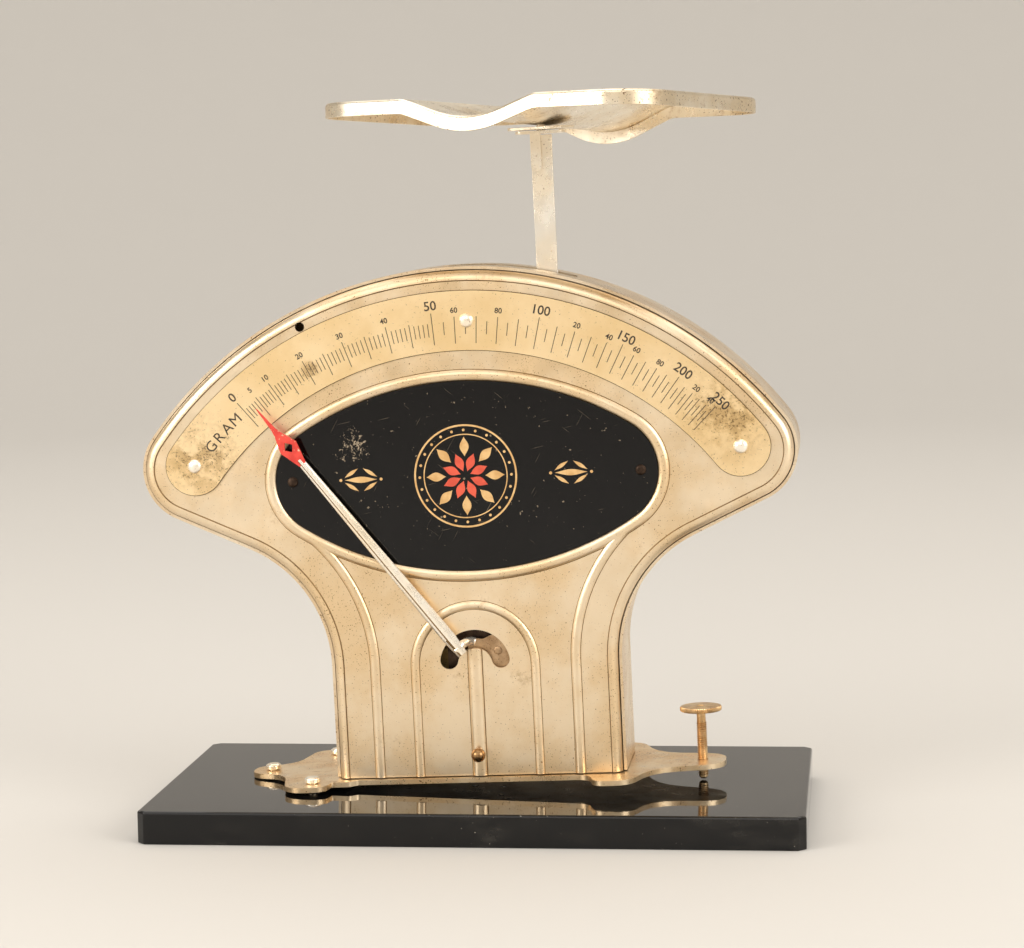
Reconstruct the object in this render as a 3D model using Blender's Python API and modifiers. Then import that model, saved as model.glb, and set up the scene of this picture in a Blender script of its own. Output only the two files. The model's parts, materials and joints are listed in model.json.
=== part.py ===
"""Pendulum letter scale on a glass base, built as separate pieces.

Units are metres, +Z is up and -Y is the front.  The scale stands on the glass, tilted a little
by its levelling screw, so everything but the glass is modelled upright and hangs on an empty
that leans about the line through the two feet.  Moving pieces hang on empties that sit on
their joint's axis.
"""
import math

import bmesh
import bpy
from mathutils import Matrix, Vector

MM = 0.001

# Overall sizes -----------------------------------------------------------------------------
BASE_WIDTH = 180.0 * MM
BASE_DEPTH = 97.0 * MM
BASE_HEIGHT = 9.0 * MM
BASE_CORNER = 2.2 * MM
LEAN = math.radians(1.8)
FEET_X = -45.0 * MM

# Fits between pieces -------------------------------------------------------------------------
GAP = 0.3 * MM
HOLE_CLEAR = 0.12 * MM
THROUGH = 2.0 * MM

# Foot plate and its feet ---------------------------------------------------------------------
FOOT_DROP = 0.8 * MM
PLATE_THICK = 1.4 * MM
PLATE_BOTTOM = BASE_HEIGHT + 0.2 * MM + FOOT_DROP
PLATE_TOP = PLATE_BOTTOM + PLATE_THICK
PLATE_LEFT = -67.0 * MM
PLATE_RIGHT = 67.0 * MM
PLATE_HALF_WAIST = 18.2 * MM
PLATE_LOBE = 27.2 * MM
STUD_RADIUS = 2.2 * MM
STUD_HEIGHT = 1.5 * MM
STUD_SHANK = 1.3 * MM
FOOT_Y = 20.5 * MM
FOOT_STUD_X = FEET_X - 1.5 * MM
TIP_STUD_X = -61.5 * MM

# Levelling screw -----------------------------------------------------------------------------
SCREW_X = 60.5 * MM
SCREW_RADIUS = 1.5 * MM
KNOB_RADIUS = 5.8 * MM
KNOB_THICK = 1.4 * MM
KNOB_LIFT = 15.2 * MM

# Case: outline measured from the main pivot, then depth ---------------------------------------
PIVOT_Z = 42.5 * MM
CASE_FOOT = PLATE_TOP + GAP
TOP_RADIUS = 108.4 * MM
LOBE_RADIUS = 13.8 * MM
LOBE_ANGLE = math.radians(53.2)
WAIST = 39.3 * MM
THROAT_RADIUS = 37.7 * MM
THROAT_LIFT = 0.6 * MM
FACE_Y = -17.0 * MM
BACK_Y = 16.0 * MM
SHEET = 0.8 * MM
RIM_RADIUS = 2.4 * MM
SKIRT_DEPTH = 7.0 * MM
WALL_START = 2.9 * MM
BACK_EDGE = 1.6 * MM
SLOT_LEFT = -6.0 * MM
SLOT_RIGHT = 31.5 * MM
SLOT_HALF = 4.5 * MM
PEEP_RADIUS = 1.3 * MM
PEEP_RING = 104.6 * MM
PEEP_ANGLE = math.radians(-24.8)

# Beads pressed in the face ---------------------------------------------------------------------
BEAD_RISE = 0.9 * MM
EYE_LIFT = 52.4 * MM
EYE_HALF_WIDTH = 53.0 * MM
EYE_HALF_HEIGHT = 26.3 * MM
EYE_END_RADIUS = 15.2 * MM
EYE_BEAD = 2.6 * MM
RIB_WIDTH = 2.8 * MM
RIB_INSET = 11.4 * MM
ARCH_RADIUS = 16.7 * MM
CENTRE_RIB_WIDTH = 3.8 * MM
KIDNEY_RADIUS = 7.3 * MM
KIDNEY_HALF = 2.5 * MM
KIDNEY_SPREAD = math.radians(78.0)

# Dial, plaque and the fasteners of the face ------------------------------------------------------
DIAL_RADIUS = 94.9 * MM
DIAL_HALF = 8.25 * MM
DIAL_SPREAD = math.radians(52.5)
DIAL_TOP_TURN = math.radians(1.4)
PLATE_STOCK = 0.8 * MM
DOME_RADIUS = 2.0 * MM
DOME_RISE = 1.1 * MM
RIVET_SHANK = 0.9 * MM
PLAQUE_RIVET_X = 48.0 * MM
PLAQUE_RIVET_RADIUS = 1.4 * MM
CASE_SCREW_DROP = 24.6 * MM
CASE_SCREW_RADIUS = 2.0 * MM
CASE_SCREW_SHANK = 1.0 * MM

# Mechanism -----------------------------------------------------------------------------------------
FRONT_CHEEK_Y = -12.6 * MM
REAR_CHEEK_Y = 14.4 * MM
CHEEK_STOCK = 1.2 * MM
CHEEK_HALF = 8.0 * MM
LINK_RISE = 40.0 * MM
ARM_LENGTH = 25.5 * MM
ARM_ANGLE = math.radians(28.2)
POINTER_ANGLE = math.radians(-37.6)
AXLE_RADIUS = 1.5 * MM
PIN_RADIUS = 1.2 * MM
LINK_STOCK = 1.8 * MM
LINK_HALF = 3.5 * MM
LEVER_RIM = 10.6 * MM
LEVER_LOBE = 9.4 * MM
LEVER_NECK = 7.1 * MM
LEVER_HUB = 5.5 * MM
LEVER_STOCK = 1.1 * MM
LEVER_RIVET_ANGLE = math.radians(60.0)
WEIGHT_RADIUS = 27.0 * MM
WEIGHT_INNER = 5.0 * MM
WEIGHT_CENTRE = math.radians(39.98)
WEIGHT_SPREAD = math.radians(60.0)

# Pointer, post and pan -------------------------------------------------------------------------------
POINTER_Y = -21.0 * MM
POINTER_STOCK = 1.6 * MM
POINTER_HALF = 1.3 * MM
POINTER_TIP = 92.4 * MM
DIAMOND_LOW = 73.0 * MM
DIAMOND_MID = 79.0 * MM
DIAMOND_HIGH = 83.0 * MM
DIAMOND_HALF = 2.9 * MM
POST_SHIFT = 0.8 * MM
POST_HALF = 2.9 * MM
POST_STOCK = 2.0 * MM
PAN_TOP = 195.9 * MM
PAN_STOCK = 0.6 * MM
PAN_ACROSS = 107.0 * MM
PAN_ALONG = 72.0 * MM
PAN_CORNER = 14.0 * MM
PAN_RIM = 4.1 * MM
PAN_TURN = math.radians(27.0)
PAN_TIP = math.radians(2.6)
PAN_ROLL = math.radians(0.9)
TROUGH_WIDTH = 42.0 * MM
TROUGH_DEPTH = 5.9 * MM
TROUGH_FALL = 1.3 * MM
FLANGE_HALF = 6.8 * MM
SADDLE_HALF = 8.9 * MM
FLANGE_WIDTH = 9.0 * MM
TONGUE_LENGTH = 11.0 * MM

# Places worked out from the sizes ---------------------------------------------------------------------
PIVOT = Vector((0.0, 0.0, PIVOT_Z))
LINK_PIVOT = PIVOT + Vector((0.0, 0.0, LINK_RISE))
LOAD_PIVOT = PIVOT + ARM_LENGTH * Vector((math.cos(ARM_ANGLE), 0.0, math.sin(ARM_ANGLE)))
LINK_END = LOAD_PIVOT + Vector((0.0, 0.0, LINK_RISE))
POST_X = LOAD_PIVOT.x + POST_SHIFT
EYE_Z = PIVOT_Z + EYE_LIFT
FRONT_PLATE_BACK = FACE_Y - GAP
FRONT_PLATE_FACE = FRONT_PLATE_BACK - PLATE_STOCK
HEEL = Vector((FEET_X, 0.0, BASE_HEIGHT))
THROAT_X = WAIST + THROAT_RADIUS
THROAT_Z = PIVOT_Z + THROAT_LIFT
SADDLE_TOP = PAN_TOP - TROUGH_DEPTH - PAN_STOCK - GAP - FLANGE_WIDTH / 2.0 * math.sin(PAN_TIP)
FLANGE_TOP = SADDLE_TOP - SHEET - GAP
POST_TOP = FLANGE_TOP - SHEET - GAP
ROUND = 20


# Helpers ------------------------------------------------------------------------------------------------
def clear_scene():
    """Remove the objects that a new file starts with."""
    for thing in list(bpy.data.objects):
        bpy.data.objects.remove(thing, do_unlink=True)


def new_collection(name):
    """Make a collection and link it to the scene."""
    collection = bpy.data.collections.new(name)
    bpy.context.scene.collection.children.link(collection)
    return collection


def make_material(name, colour, roughness, metallic):
    """Make a Principled material."""
    material = bpy.data.materials.new(name)
    material.use_nodes = True
    shader = material.node_tree.nodes["Principled BSDF"]
    shader.inputs["Base Color"].default_value = (*colour, 1.0)
    shader.inputs["Roughness"].default_value = roughness
    shader.inputs["Metallic"].default_value = metallic
    return material


def polar(radius, angle, centre=PIVOT):
    """Point in the XZ plane, with the angle from straight up, clockwise from the front."""
    return (centre.x + radius * math.sin(angle), centre.z + radius * math.cos(angle))


def arc(centre, radius, start, end, steps):
    """Points on an arc, with angles counted from +X towards the second axis."""
    turns = [start + (end - start) * i / steps for i in range(steps + 1)]
    return [(centre[0] + radius * math.cos(t), centre[1] + radius * math.sin(t)) for t in turns]


def disc(centre, radius, steps=ROUND):
    """A full circle of points."""
    return arc(centre, radius, 0.0, 2.0 * math.pi, steps)[:-1]


def rounded(corners):
    """Round each corner (x, y, radius) of a closed outline."""
    points = []
    count = len(corners)
    for i, (x, y, radius) in enumerate(corners):
        here = Vector((x, y))
        before = (Vector(corners[i - 1][:2]) - here).normalized()
        after = (Vector(corners[(i + 1) % count][:2]) - here).normalized()
        half = before.angle(after) / 2.0
        if radius <= 0.0:
            points.append((x, y))
            continue
        reach = radius / math.tan(half)
        centre = here + (before + after).normalized() * radius / math.sin(half)
        first = here + before * reach - centre
        last = here + after * reach - centre
        sweep = first.angle_signed(last)
        steps = max(2, math.ceil(abs(sweep) / math.radians(22.0)))
        for step in range(steps + 1):
            turned = first.copy()
            turned.rotate(Matrix.Rotation(-sweep * step / steps, 2))
            points.append(tuple(centre + turned))
    return points


def ribbon(path, width):
    """A closed outline of the given width along a path of points."""
    left, right = [], []
    for i, point in enumerate(path):
        ahead = Vector(path[min(i + 1, len(path) - 1)])
        behind = Vector(path[max(i - 1, 0)])
        run = (ahead - behind).normalized()
        side = Vector((-run.y, run.x)) * width / 2.0
        left.append(tuple(Vector(point) + side))
        right.append(tuple(Vector(point) - side))
    return left + right[::-1]


def finish(thing, material, parent=None, smooth=False):
    """Link a piece, give it its material and hang it on its empty."""
    collection = bpy.data.collections["letter_scale"]
    collection.objects.link(thing)
    thing.data.materials.clear()
    thing.data.materials.append(material)
    if smooth:
        thing.data.shade_smooth()
        thing.data.set_sharp_from_angle(angle=math.radians(35.0))
    if parent is not None:
        hang(thing, parent)
    return thing


def hang(thing, parent):
    """Parent a piece that was modelled upright in place, without moving it."""
    thing.parent = parent
    thing.location = thing.location - Vector(parent["upright"])


def add_axis(name, place, parent=None):
    """An empty at an upright place; the first one carries the lean of the whole scale."""
    empty = bpy.data.objects.new(name, None)
    bpy.data.collections["letter_scale"].objects.link(empty)
    empty["upright"] = Vector(place)
    empty.location = Vector(place)
    if parent is not None:
        empty.parent = parent
        empty.location = Vector(place) - Vector(parent["upright"])
    return empty


def slab_mesh(name, loops, near, far, lying=False):
    """Mesh of a flat outline with holes, from near to far along its thickness.

    Upright slabs have their outline in XZ and their thickness along Y; lying slabs have it in
    XY and their thickness along Z.
    """
    curve = bpy.data.curves.new(name, "CURVE")
    curve.dimensions = "2D"
    curve.fill_mode = "BOTH"
    curve.extrude = abs(far - near) / 2.0
    for loop in loops:
        spline = curve.splines.new("POLY")
        spline.points.add(len(loop) - 1)
        for point, (u, v) in zip(spline.points, loop):
            point.co = (u, v, 0.0, 1.0)
        spline.use_cyclic_u = True
    holder = bpy.data.objects.new(name, curve)
    bpy.context.scene.collection.objects.link(holder)
    bpy.context.view_layer.update()
    evaluated = holder.evaluated_get(bpy.context.evaluated_depsgraph_get())
    mesh = bpy.data.meshes.new_from_object(evaluated)
    bpy.data.objects.remove(holder)
    bpy.data.curves.remove(curve)
    middle = (near + far) / 2.0
    if lying:
        mesh.transform(Matrix.Translation((0.0, 0.0, middle)))
    else:
        mesh.transform(Matrix.Translation((0.0, middle, 0.0)) @ Matrix.Rotation(math.pi / 2.0, 4, "X"))
    work = bmesh.new()
    work.from_mesh(mesh)
    bmesh.ops.remove_doubles(work, verts=work.verts, dist=0.005 * MM)
    bmesh.ops.recalc_face_normals(work, faces=work.faces)
    work.to_mesh(mesh)
    work.free()
    mesh.name = name
    return mesh


def slab(name, loops, near, far, lying=False):
    """Object holding a slab mesh."""
    return bpy.data.objects.new(name, slab_mesh(name, loops, near, far, lying))


def loft(name, rings):
    """Closed solid through rings of equal length, given as (y, outline) from front to back."""
    work = bmesh.new()
    rows = [[work.verts.new((x, y, z)) for x, z in outline] for y, outline in rings]
    count = len(rows[0])
    for front, back in zip(rows, rows[1:]):
        for i in range(count):
            j = (i + 1) % count
            work.faces.new((front[i], front[j], back[j], back[i]))
    work.faces.new(rows[0])
    work.faces.new(rows[-1])
    bmesh.ops.recalc_face_normals(work, faces=work.faces)
    mesh = bpy.data.meshes.new(name)
    work.to_mesh(mesh)
    work.free()
    return bpy.data.objects.new(name, mesh)


def turned(name, profile, place, facing="UP", steps=ROUND):
    """Turned piece from a profile of (radius, height), running down the outside from the top."""
    mesh = bpy.data.meshes.new(name)
    edges = [(i, i + 1) for i in range(len(profile) - 1)]
    mesh.from_pydata([(radius, 0.0, height) for radius, height in profile], edges, [])
    thing = bpy.data.objects.new(name, mesh)
    screw = thing.modifiers.new("turn", "SCREW")
    screw.steps = steps
    screw.render_steps = steps
    screw.use_merge_vertices = True
    screw.merge_threshold = 0.00001
    thing.location = place
    if facing == "FRONT":
        thing.rotation_euler = (math.pi / 2.0, 0.0, 0.0)
    return thing


def combine(thing, other, operation):
    """Boolean modifier with another object as its operand, kept out of the model."""
    bpy.data.collections["cutters"].objects.link(other)
    other.hide_render = True
    other.display_type = "WIRE"
    modifier = thing.modifiers.new(operation.lower(), "BOOLEAN")
    modifier.operation = operation
    modifier.object = other
    modifier.solver = "EXACT"


def rivet_profile(head_radius, head_rise, shank_radius, shank_length):
    """Dome head above zero and a shank below it."""
    dome = [(head_radius * math.cos(t), head_rise * math.sin(t))
            for t in (math.radians(a) for a in (90.0, 60.0, 30.0, 0.0))]
    dome[0] = (0.0, head_rise)
    return dome + [(shank_radius, 0.0), (shank_radius, -shank_length), (0.0, -shank_length)]


def pin_profile(radius, length):
    """Plain pin, centred on its middle."""
    return [(0.0, length / 2.0), (radius, length / 2.0), (radius, -length / 2.0), (0.0, -length / 2.0)]


# Outlines ---------------------------------------------------------------------------------------------------
def case_outline(offset, foot):
    """Outline of the case, moved out by offset, with its open bottom at height foot.

    The crown is an arc about the main pivot.  It runs into a round lobe at each end, and a
    straight shoulder joins the lobe to the hollow throat above the parallel waist.
    """
    lobe_reach = TOP_RADIUS - LOBE_RADIUS
    lobe = Vector(polar(lobe_reach, LOBE_ANGLE))
    throat = Vector((THROAT_X, THROAT_Z))
    lobe_size = LOBE_RADIUS + offset
    throat_size = THROAT_RADIUS - offset
    between = throat - lobe
    swing = math.acos((lobe_size + throat_size) / between.length)
    shoulder = math.atan2(between.y, between.x) + swing
    crown_end = math.pi / 2.0 - LOBE_ANGLE
    pivot = (PIVOT.x, PIVOT.z)
    half = arc(pivot, TOP_RADIUS + offset, math.pi / 2.0, crown_end, 12)
    half += arc(lobe, lobe_size, crown_end, shoulder, 8)[1:]
    half += arc(throat, throat_size, shoulder + math.pi, math.pi, 6)
    half.append((WAIST + offset, foot))
    return half + [(-x, z) for x, z in half[:0:-1]]


def eye_outline(offset):
    """Eye shape: two shallow arcs that meet in round ends."""
    height = EYE_HALF_HEIGHT
    end = EYE_END_RADIUS
    reach = EYE_HALF_WIDTH - end
    radius = (reach ** 2 + height ** 2 - end ** 2) / (2.0 * (height - end))
    drop = radius - height
    turn = math.atan2(drop, reach)
    lid = arc((0.0, EYE_Z - drop), radius + offset, math.pi - turn, turn, 14)
    corner = arc((reach, EYE_Z), end + offset, turn, -turn, 8)[1:-1]
    low_lid = [(-x, 2.0 * EYE_Z - z) for x, z in lid]
    far_corner = [(-x, 2.0 * EYE_Z - z) for x, z in corner]
    return lid + corner + low_lid + far_corner


def band_outline(radius, half, spread, steps, end_steps=6):
    """Curved band about the pivot with round ends, spread to both sides of straight up."""
    points = [polar(radius + half, -spread + 2.0 * spread * i / steps) for i in range(steps + 1)]
    for turn, inner in ((spread, False), (-spread, True)):
        centre = polar(radius, turn)
        start = math.pi / 2.0 - turn
        if inner:
            start += math.pi
            points += [polar(radius - half, spread - 2.0 * spread * i / steps) for i in range(steps + 1)]
        points += arc(centre, half, start, start - math.pi, end_steps)[1:-1]
    return points


def foot_outline():
    """Plan of the foot plate: round tips, hollow flanks and a lobe at each corner."""
    lobe = PLATE_LOBE
    waist = PLATE_HALF_WAIST
    near = [
        (PLATE_LEFT, -5.6 * MM, 5.2 * MM),
        (-56.5 * MM, -7.0 * MM, 9.0 * MM),
        (FEET_X - 8.2 * MM, -lobe, 5.5 * MM),
        (FEET_X + 3.2 * MM, -lobe, 4.6 * MM),
        (FEET_X + 3.8 * MM, -waist - 2.4 * MM, 0.8 * MM),
        (FEET_X + 8.6 * MM, -waist - 2.4 * MM, 2.2 * MM),
        (FEET_X + 11.0 * MM, -waist, 2.0 * MM),
        (WAIST - 9.0 * MM, -waist, 4.0 * MM),
        (WAIST - 7.2 * MM, -lobe, 3.6 * MM),
        (WAIST + 2.6 * MM, -lobe, 6.0 * MM),
        (WAIST + 8.0 * MM, -11.0 * MM, 12.0 * MM),
        (PLATE_RIGHT, -7.6 * MM, 7.0 * MM),
    ]
    return rounded(near + [(x, -y, radius) for x, y, radius in reversed(near)])


# Pieces --------------------------------------------------------------------------------------------
def build_base(glass):
    """Glass plate with bevelled edges."""
    bpy.ops.mesh.primitive_cube_add(size=1.0, location=(0.0, 0.0, BASE_HEIGHT / 2.0))
    base = bpy.context.object
    base.name = "glass_base"
    base.data.transform(Matrix.Diagonal((BASE_WIDTH, BASE_DEPTH, BASE_HEIGHT, 1.0)))
    work = bmesh.new()
    work.from_mesh(base.data)
    uprights = [e for e in work.edges if abs(e.verts[0].co.z - e.verts[1].co.z) > BASE_HEIGHT / 2.0]
    bmesh.ops.bevel(work, geom=uprights, offset=BASE_CORNER, segments=1, affect="EDGES")
    top = [e for e in work.edges if min(v.co.z for v in e.verts) > BASE_HEIGHT / 4.0]
    bmesh.ops.bevel(work, geom=top, offset=0.5 * MM, segments=1, affect="EDGES")
    work.to_mesh(base.data)
    work.free()
    for collection in list(base.users_collection):
        collection.objects.unlink(base)
    finish(base, glass)


def build_foot_plate(metal, parent):
    """Foot plate with holes for its studs, the levelling screw and the frame screws."""
    holes = [disc((x, y), STUD_SHANK + HOLE_CLEAR) for x, y in stud_places()]
    holes.append(disc((SCREW_X, 0.0), SCREW_RADIUS + HOLE_CLEAR))
    holes += [disc((x, 0.0), CASE_SCREW_SHANK + HOLE_CLEAR) for x in frame_screw_places()]
    plate = slab("foot_plate", [foot_outline()] + holes, PLATE_BOTTOM, PLATE_TOP, lying=True)
    finish(plate, metal, parent)


def stud_places():
    """Centres of the three studs of the foot plate: front foot, rear foot and tip."""
    return [(FOOT_STUD_X, -FOOT_Y), (FOOT_STUD_X, FOOT_Y), (TIP_STUD_X, 0.0)]


def frame_screw_places():
    """X of the two screws that hold the inner frame to the foot plate."""
    return [-CHEEK_HALF / 2.0, CHEEK_HALF / 2.0]


def build_studs(metal, parent):
    """Feet and tip stud: cheese heads above the plate, shanks through it."""
    names = ("front_foot", "rear_foot", "tip_stud")
    for name, (x, y) in zip(names, stud_places()):
        drop = PLATE_THICK + GAP
        profile = [(0.0, STUD_HEIGHT), (STUD_RADIUS * 0.7, STUD_HEIGHT), (STUD_RADIUS, STUD_HEIGHT * 0.7),
                   (STUD_RADIUS, 0.0), (STUD_SHANK, 0.0)]
        if name == "tip_stud":
            profile += [(STUD_SHANK, -drop), (0.0, -drop)]
        else:
            foot = drop + FOOT_DROP
            profile += [(STUD_SHANK, -foot + 0.3 * MM), (STUD_SHANK * 0.7, -foot), (0.0, -foot)]
        finish(turned(name, profile, (x, y, PLATE_TOP + GAP)), metal, parent, smooth=True)


def build_front_shell(metal, parent):
    """Front of the case: pressed face with a round rim, beads, slot and rivet holes."""
    bend = [math.radians(a) for a in (90.0, 60.0, 30.0, 0.0)]
    rings = [(FACE_Y + RIM_RADIUS * (1.0 - math.sin(t)),
              case_outline(RIM_RADIUS * (math.cos(t) - 1.0), CASE_FOOT)) for t in bend]
    rings.append((FACE_Y + SKIRT_DEPTH, case_outline(0.0, CASE_FOOT)))
    shell = loft("front_shell", rings)
    finish(shell, metal, parent)

    bottom = CASE_FOOT - THROUGH
    inner_bend = RIM_RADIUS - SHEET
    hollow = [(FACE_Y + SHEET + inner_bend * (1.0 - math.sin(t)),
               case_outline(inner_bend * (math.cos(t) - 1.0) - SHEET, bottom)) for t in bend]
    hollow.append((FACE_Y + SKIRT_DEPTH + THROUGH, case_outline(-SHEET, bottom)))

    embedded = FACE_Y + SHEET / 2.0
    raised = FACE_Y - BEAD_RISE
    beads = {
        "eye_bead": [eye_outline(EYE_BEAD), eye_outline(0.0)],
        "left_rib": [ribbon(rib_path(-1.0), RIB_WIDTH)],
        "right_rib": [ribbon(rib_path(1.0), RIB_WIDTH)],
        "arch_rib": [ribbon(arch_path(), RIB_WIDTH)],
        "centre_rib": [ribbon([(0.0, PIVOT_Z + 2.0 * MM), (0.0, CASE_FOOT)], CENTRE_RIB_WIDTH)],
    }
    for name, loops in beads.items():
        bead = slab(name, loops, raised, embedded)
        hang_cutter(bead, parent)
        combine(shell, bead, "UNION")
    hollow_solid = loft("front_hollow", hollow)
    hang_cutter(hollow_solid, parent)
    combine(shell, hollow_solid, "DIFFERENCE")
    for number, loop in enumerate(face_holes()):
        cutter = slab(f"face_cut_{number}", [loop], raised - THROUGH, FACE_Y + SHEET + THROUGH)
        hang_cutter(cutter, parent)
        combine(shell, cutter, "DIFFERENCE")


def hang_cutter(thing, parent):
    """A cutter leans with the piece that it shapes."""
    thing.parent = parent
    thing.location = -Vector(parent["upright"])


def rib_path(side):
    """Centre line of an outer rib: up beside the waist, then out round the throat to the eye."""
    bend = [math.pi - math.radians(35.0) * i / 5 for i in range(6)]
    radius = THROAT_RADIUS + RIB_INSET
    path = [(THROAT_X + radius * math.cos(t), THROAT_Z + radius * math.sin(t)) for t in bend]
    return [(side * x, z) for x, z in [(WAIST - RIB_INSET, CASE_FOOT)] + path]


def arch_path():
    """Centre line of the arch round the pivot."""
    bow = [polar(ARCH_RADIUS, math.radians(-90.0 + 18.0 * i)) for i in range(11)]
    return [(-ARCH_RADIUS, CASE_FOOT)] + bow + [(ARCH_RADIUS, CASE_FOOT)]


def dial_rivet_places():
    """Centres of the three dial rivets: left, top, right."""
    return [polar(DIAL_RADIUS, turn) for turn in (-DIAL_SPREAD, DIAL_TOP_TURN, DIAL_SPREAD)]


def plaque_rivet_places():
    """Centres of the two plaque rivets."""
    return [(-PLAQUE_RIVET_X, EYE_Z), (PLAQUE_RIVET_X, EYE_Z)]


def face_holes():
    """Outlines cut through the face."""
    shank = RIVET_SHANK + HOLE_CLEAR
    holes = [band_outline(KIDNEY_RADIUS, KIDNEY_HALF, KIDNEY_SPREAD, 12)]
    holes += [disc(place, shank, 12) for place in dial_rivet_places() + plaque_rivet_places()]
    holes.append(disc((0.0, PIVOT_Z - CASE_SCREW_DROP), CASE_SCREW_SHANK + HOLE_CLEAR, 12))
    holes.append(disc(polar(PEEP_RING, PEEP_ANGLE), PEEP_RADIUS, 12))
    return holes


def build_back_case(metal, parent):
    """Deep back of the case: back plate and side wall, with the post's slot in its crown."""
    outside = GAP + SHEET
    start = FACE_Y + WALL_START
    inset = BACK_EDGE * 0.3
    rings = [(start, case_outline(outside, CASE_FOOT)),
             (BACK_Y - BACK_EDGE, case_outline(outside, CASE_FOOT)),
             (BACK_Y - inset, case_outline(outside - inset, CASE_FOOT)),
             (BACK_Y, case_outline(outside - BACK_EDGE, CASE_FOOT))]
    case = loft("back_case", rings)
    finish(case, metal, parent)
    bottom = CASE_FOOT - THROUGH
    hollow = loft("back_hollow", [
        (start - THROUGH, case_outline(GAP, bottom)),
        (BACK_Y - BACK_EDGE, case_outline(GAP, bottom)),
        (BACK_Y - SHEET, case_outline(GAP - BACK_EDGE / 2.0, bottom))])
    hang_cutter(hollow, parent)
    combine(case, hollow, "DIFFERENCE")
    top = PIVOT_Z + TOP_RADIUS
    slot = slab("crown_slot", [[(SLOT_LEFT, -SLOT_HALF), (SLOT_RIGHT, -SLOT_HALF), (SLOT_RIGHT, SLOT_HALF),
                                (SLOT_LEFT, SLOT_HALF)]], top - 12.0 * MM, top + 6.0 * MM, lying=True)
    hang_cutter(slot, parent)
    combine(case, slot, "DIFFERENCE")


def build_face_fittings(dial_metal, black, metal, dark, parent):
    """Dial plate, plaque, their rivets and the ball-headed case screw."""
    holes = [disc(place, RIVET_SHANK + HOLE_CLEAR, 12) for place in dial_rivet_places()]
    dial = slab("dial_plate", [band_outline(DIAL_RADIUS, DIAL_HALF, DIAL_SPREAD, 24, 8)] + holes,
                FRONT_PLATE_FACE, FRONT_PLATE_BACK)
    finish(dial, dial_metal, parent)
    holes = [disc(place, RIVET_SHANK + HOLE_CLEAR, 12) for place in plaque_rivet_places()]
    plaque = slab("name_plaque", [eye_outline(-GAP)] + holes, FRONT_PLATE_FACE, FRONT_PLATE_BACK)
    finish(plaque, black, parent)

    seat = FRONT_PLATE_FACE - GAP
    length = FACE_Y + SHEET + GAP - seat
    profile = rivet_profile(DOME_RADIUS, DOME_RISE, RIVET_SHANK, length)
    for side, (x, z) in zip(("left", "top", "right"), dial_rivet_places()):
        finish(turned(f"dial_rivet_{side}", profile, (x, seat, z), "FRONT", 16), metal, parent, smooth=True)
    profile = rivet_profile(PLAQUE_RIVET_RADIUS, DOME_RISE * 0.6, RIVET_SHANK, length)
    for side, (x, z) in zip(("left", "right"), plaque_rivet_places()):
        finish(turned(f"plaque_rivet_{side}", profile, (x, seat, z), "FRONT", 16), dark, parent, smooth=True)

    seat = FACE_Y - BEAD_RISE - GAP
    reach = FRONT_CHEEK_Y + CHEEK_STOCK + GAP - seat
    size = CASE_SCREW_RADIUS
    head = [(size * math.sin(math.radians(a)), size * (1.0 + math.cos(math.radians(a))))
            for a in (0.0, 35.0, 70.0, 105.0, 140.0)]
    profile = head + [(CASE_SCREW_SHANK, 0.2 * MM), (CASE_SCREW_SHANK, -reach), (0.0, -reach)]
    place = (0.0, seat, PIVOT_Z - CASE_SCREW_DROP)
    finish(turned("case_screw", profile, place, "FRONT", 16), metal, parent, smooth=True)


def cheek_outline():
    """Upright cheek of the inner frame, from the foot plate to above the link pivot."""
    top = LINK_PIVOT.z + 5.0 * MM
    return rounded([(-CHEEK_HALF, CASE_FOOT, 0.0), (CHEEK_HALF, CASE_FOOT, 0.0),
                    (CHEEK_HALF, top, 4.5 * MM), (-CHEEK_HALF, top, 4.5 * MM)])


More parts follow.
